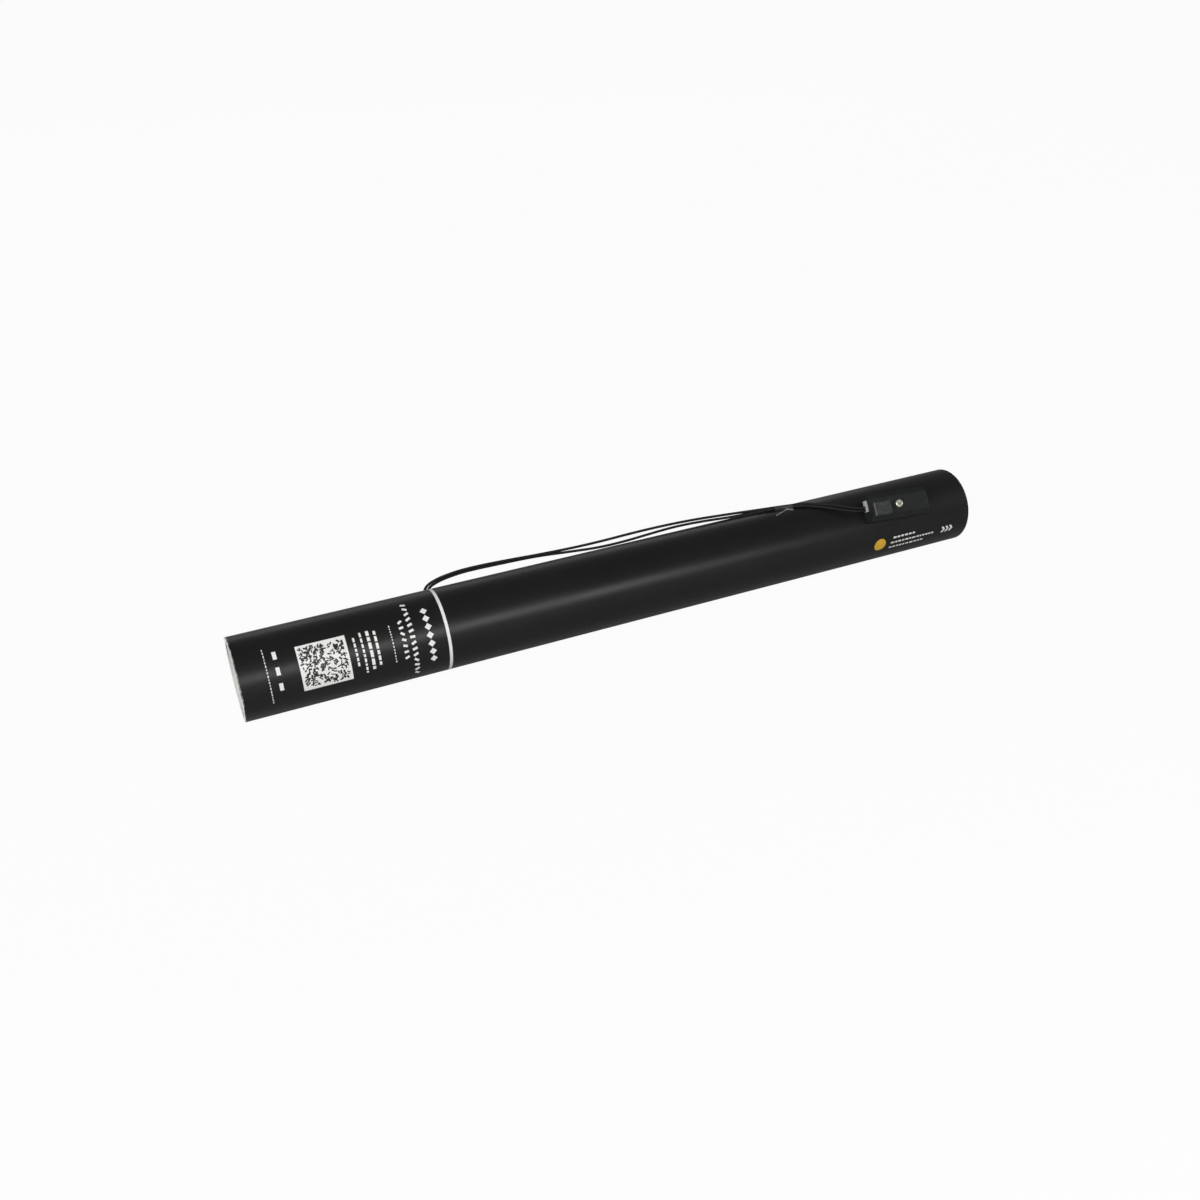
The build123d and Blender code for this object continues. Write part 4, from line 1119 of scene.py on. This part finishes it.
class POPPER_OT_charge(Operator):
    """Stacks the paper slips between the wad and the muzzle disc"""
    bl_idname = "popper.charge"
    bl_label = "Charge"

    def execute(self, context):
        settings = context.scene.popper_charge
        paint = materials(context.scene)
        layers = sorted(name for name in frame["nodes"] if name.startswith("confetti_layer_"))
        for layer in layers:
            piece = repeat(layer.replace("layer", "slips"), self.slip_marks(settings, layer), slip_shape(),
                           paint["paper_slips"], Seed=settings.seed + int(layer[-1]), Turn_Spread=SLIP_TURN,
                           Shift_Spread=SLIP_SHIFT, Ripple=settings.slip_ripple)
            fit(piece, "charge", [layer])
        for node, name in (("wad", "wad_board"), ("muzzle_disc", "muzzle_disc_board")):
            board = softened(node, name, settings.board_edge_width, paint["grey_board"])
            fit(board, "charge", [node])
        return {"FINISHED"}

    def slip_marks(self, settings, layer):
        """A place and a size for every slip of a layer's stacks."""
        marks = []
        for low, high in stacks(layer):
            number = int((high.z - low.z) / settings.slip_pitch)
            middle = (low + high) / 2
            long = high.x - low.x - settings.slip_margin * 2
            wide = high.y - low.y - settings.slip_margin * 2
            for k in range(number):
                height = low.z + (k + 0.5) * (high.z - low.z) / number
                extent = (long, wide, settings.slip_thickness)
                marks.append(((middle.x, middle.y, height), extent, (0, 0, 0)))
        return marks


class POPPER_OT_works(Operator):
    """Gives every piece of the model its finish, and puts a plain copy of the striker's spring in place of it
    """
    bl_idname = "popper.works"
    bl_label = "Inner works"

    def execute(self, context):
        paint = materials(context.scene)
        for name, piece in frame["nodes"].items():
            if name != "barrel_tube":
                piece.material_slots[0].material = paint[SLOT_OF[name]]
        self.stretch_spring(paint["bare_steel"])
        return {"FINISHED"}

    def stretch_spring(self, material):
        """A copy of the spring with its place baked into its mesh, in place of the node."""
        mesh = frame["nodes"]["striker_spring"].data.copy()
        mesh.materials.clear()
        spring = new_object("striker_spring_coil", mesh, material)
        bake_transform(spring)
        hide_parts("striker_spring")


# Stage
CAMERA_PLACE = (-0.27735, -0.57038, 0.43812)
CAMERA_FORWARD = (0.33989, 0.75651, -0.55872)
FLOOR_HEIGHT = -0.25 * MM
FLOOR_HALF = 9.0


def white_to_eye(tree, stage, dim, white):
    """Mixes in plain white: most for the camera and through glass, less in reflections."""
    path = add(tree, "ShaderNodeLightPath").outputs
    seen = calc(tree, "MAXIMUM", path["Is Camera Ray"], path["Is Transmission Ray"])
    direct = calc(tree, "MULTIPLY", seen, stage.white_share)
    glossy = calc(tree, "MULTIPLY", path["Is Glossy Ray"], stage.glossy_share)
    mixed = {0: calc(tree, "MAXIMUM", direct, glossy), 1: dim, 2: white}
    return add(tree, "ShaderNodeMixShader", mixed).outputs[0]


class POPPER_OT_stage(Operator):
    """Sets the pale floor, the soft lamps and the camera"""
    bl_idname = "popper.stage"
    bl_label = "Stage"

    def execute(self, context):
        scene = context.scene
        stage = scene.popper_stage
        scene.view_settings.view_transform = "Standard"
        self.add_floor(stage)
        self.add_world(scene, stage)
        self.add_lamps(stage)
        self.add_camera(scene, stage)
        return {"FINISHED"}

    def add_floor(self, stage):
        material = bpy.data.materials.new("stage_floor")
        material.use_nodes = True
        tree = material.node_tree
        tree.nodes.clear()
        matt = add(tree, "ShaderNodeBsdfDiffuse", {"Color": (*stage.floor_colour, 1)}).outputs[0]
        white = add(tree, "ShaderNodeEmission", {"Strength": 1.0}).outputs[0]
        add(tree, "ShaderNodeOutputMaterial", {"Surface": white_to_eye(tree, stage, matt, white)})
        mesh = bpy.data.meshes.new("stage_floor")
        corners = [(x * FLOOR_HALF, y * FLOOR_HALF, FLOOR_HEIGHT)
                   for x, y in ((-1, -1), (1, -1), (1, 1), (-1, 1))]
        mesh.from_pydata(corners, [], [(0, 1, 2, 3)])
        new_object("stage_floor", mesh, material)

    def add_world(self, scene, stage):
        world = bpy.data.worlds.new("stage_world")
        scene.world = world
        world.use_nodes = True
        tree = world.node_tree
        tree.nodes.clear()
        dim = add(tree, "ShaderNodeBackground", {"Strength": stage.sky_level}).outputs[0]
        white = add(tree, "ShaderNodeBackground", {"Color": (1, 1, 1, 1), "Strength": 1.0}).outputs[0]
        add(tree, "ShaderNodeOutputWorld", {"Surface": white_to_eye(tree, stage, dim, white)})

    def add_lamps(self, stage):
        """Area lamps, each with its place, what it faces, its extent, its spread in degrees and its power."""
        middle = (0, 0, AXIS)
        lamps = (("key_lamp", (0.06, -1.08, 0.62), middle, (1.1, 0.20), 180, stage.key_power),
                 ("side_lamp", (-1.35, -0.75, 0.95), middle, (0.9, 0.9), 180, stage.side_power),
                 ("back_lamp", (0.25, 1.6, 0.45), middle, (1.8, 0.4), 180, stage.back_power),
                 ("base_lamp", (-1.4, 0.15, 0.3), (BASE, 0, AXIS), (0.5, 0.5), 180, stage.base_power),
                 ("muzzle_lamp", (1.5, -0.25, 0.4), (MUZZLE, 0, AXIS), (0.5, 0.5), 180, stage.muzzle_power),
                 ("floor_lamp", (0.1, -1.15, 1.4), (0.1, -1.15, 0), (1.6, 0.7), 60, stage.floor_power))
        for name, place, target, extent, spread, watts in lamps:
            data = bpy.data.lights.new(name, "AREA")
            data.shape = "RECTANGLE"
            data.size, data.size_y = extent
            data.spread = radians(spread)
            data.energy = watts
            lamp = new_object(name, data)
            lamp.location = place
            lamp.rotation_euler = (Vector(target) - Vector(place)).to_track_quat("-Z", "Y").to_euler()

    def add_camera(self, scene, stage):
        camera = new_object("camera", bpy.data.cameras.new("camera"))
        camera.data.sensor_width = 36
        camera.data.lens = stage.lens
        camera.data.clip_start = 0.01
        forward = Vector(CAMERA_FORWARD).normalized()
        right = forward.cross(Vector((0, 0, 1))).normalized()
        turn = Matrix((right, right.cross(forward), -forward)).transposed()
        camera.location = CAMERA_PLACE
        camera.rotation_euler = turn.to_euler()
        scene.camera = camera


class POPPER_PT_sidebar(Panel):
    """Lists the popper's pieces and their settings"""
    bl_idname = "POPPER_PT_sidebar"
    bl_label = "Confetti popper"
    bl_space_type = "VIEW_3D"
    bl_region_type = "UI"
    bl_category = "Popper"

    def draw(self, context):
        for operator in OPERATORS:
            self.layout.operator(operator.bl_idname)
        for key in SETTINGS:
            group = getattr(context.scene, key)
            box = self.layout.box()
            for name in group.bl_rna.properties.keys():
                if name not in ("rna_type", "name"):
                    box.prop(group, name)


SETTINGS = {"popper_barrel": PopperBarrel, "popper_print": PopperPrint, "popper_wires": PopperWires,
            "popper_plug": PopperPlug, "popper_charge": PopperCharge, "popper_stage": PopperStage}
OPERATORS = (POPPER_OT_stage, POPPER_OT_works, POPPER_OT_plug, POPPER_OT_wires, POPPER_OT_barrel,
             POPPER_OT_print, POPPER_OT_charge)


def register():
    for item in (*SETTINGS.values(), *OPERATORS, POPPER_PT_sidebar):
        bpy.utils.register_class(item)
    for key, group in SETTINGS.items():
        setattr(bpy.types.Scene, key, PointerProperty(type=group))


def unregister():
    for key in SETTINGS:
        delattr(bpy.types.Scene, key)
    for item in (POPPER_PT_sidebar, *reversed(OPERATORS), *SETTINGS.values()):
        bpy.utils.unregister_class(item)


def main():
    register()
    bpy.ops.popper.stage()
    bpy.ops.popper.works()
    bpy.ops.popper.plug()
    bpy.ops.popper.wires()
    bpy.ops.popper.barrel()
    bpy.ops.popper.print()
    bpy.ops.popper.charge()


if __name__ == "__main__":
    main()
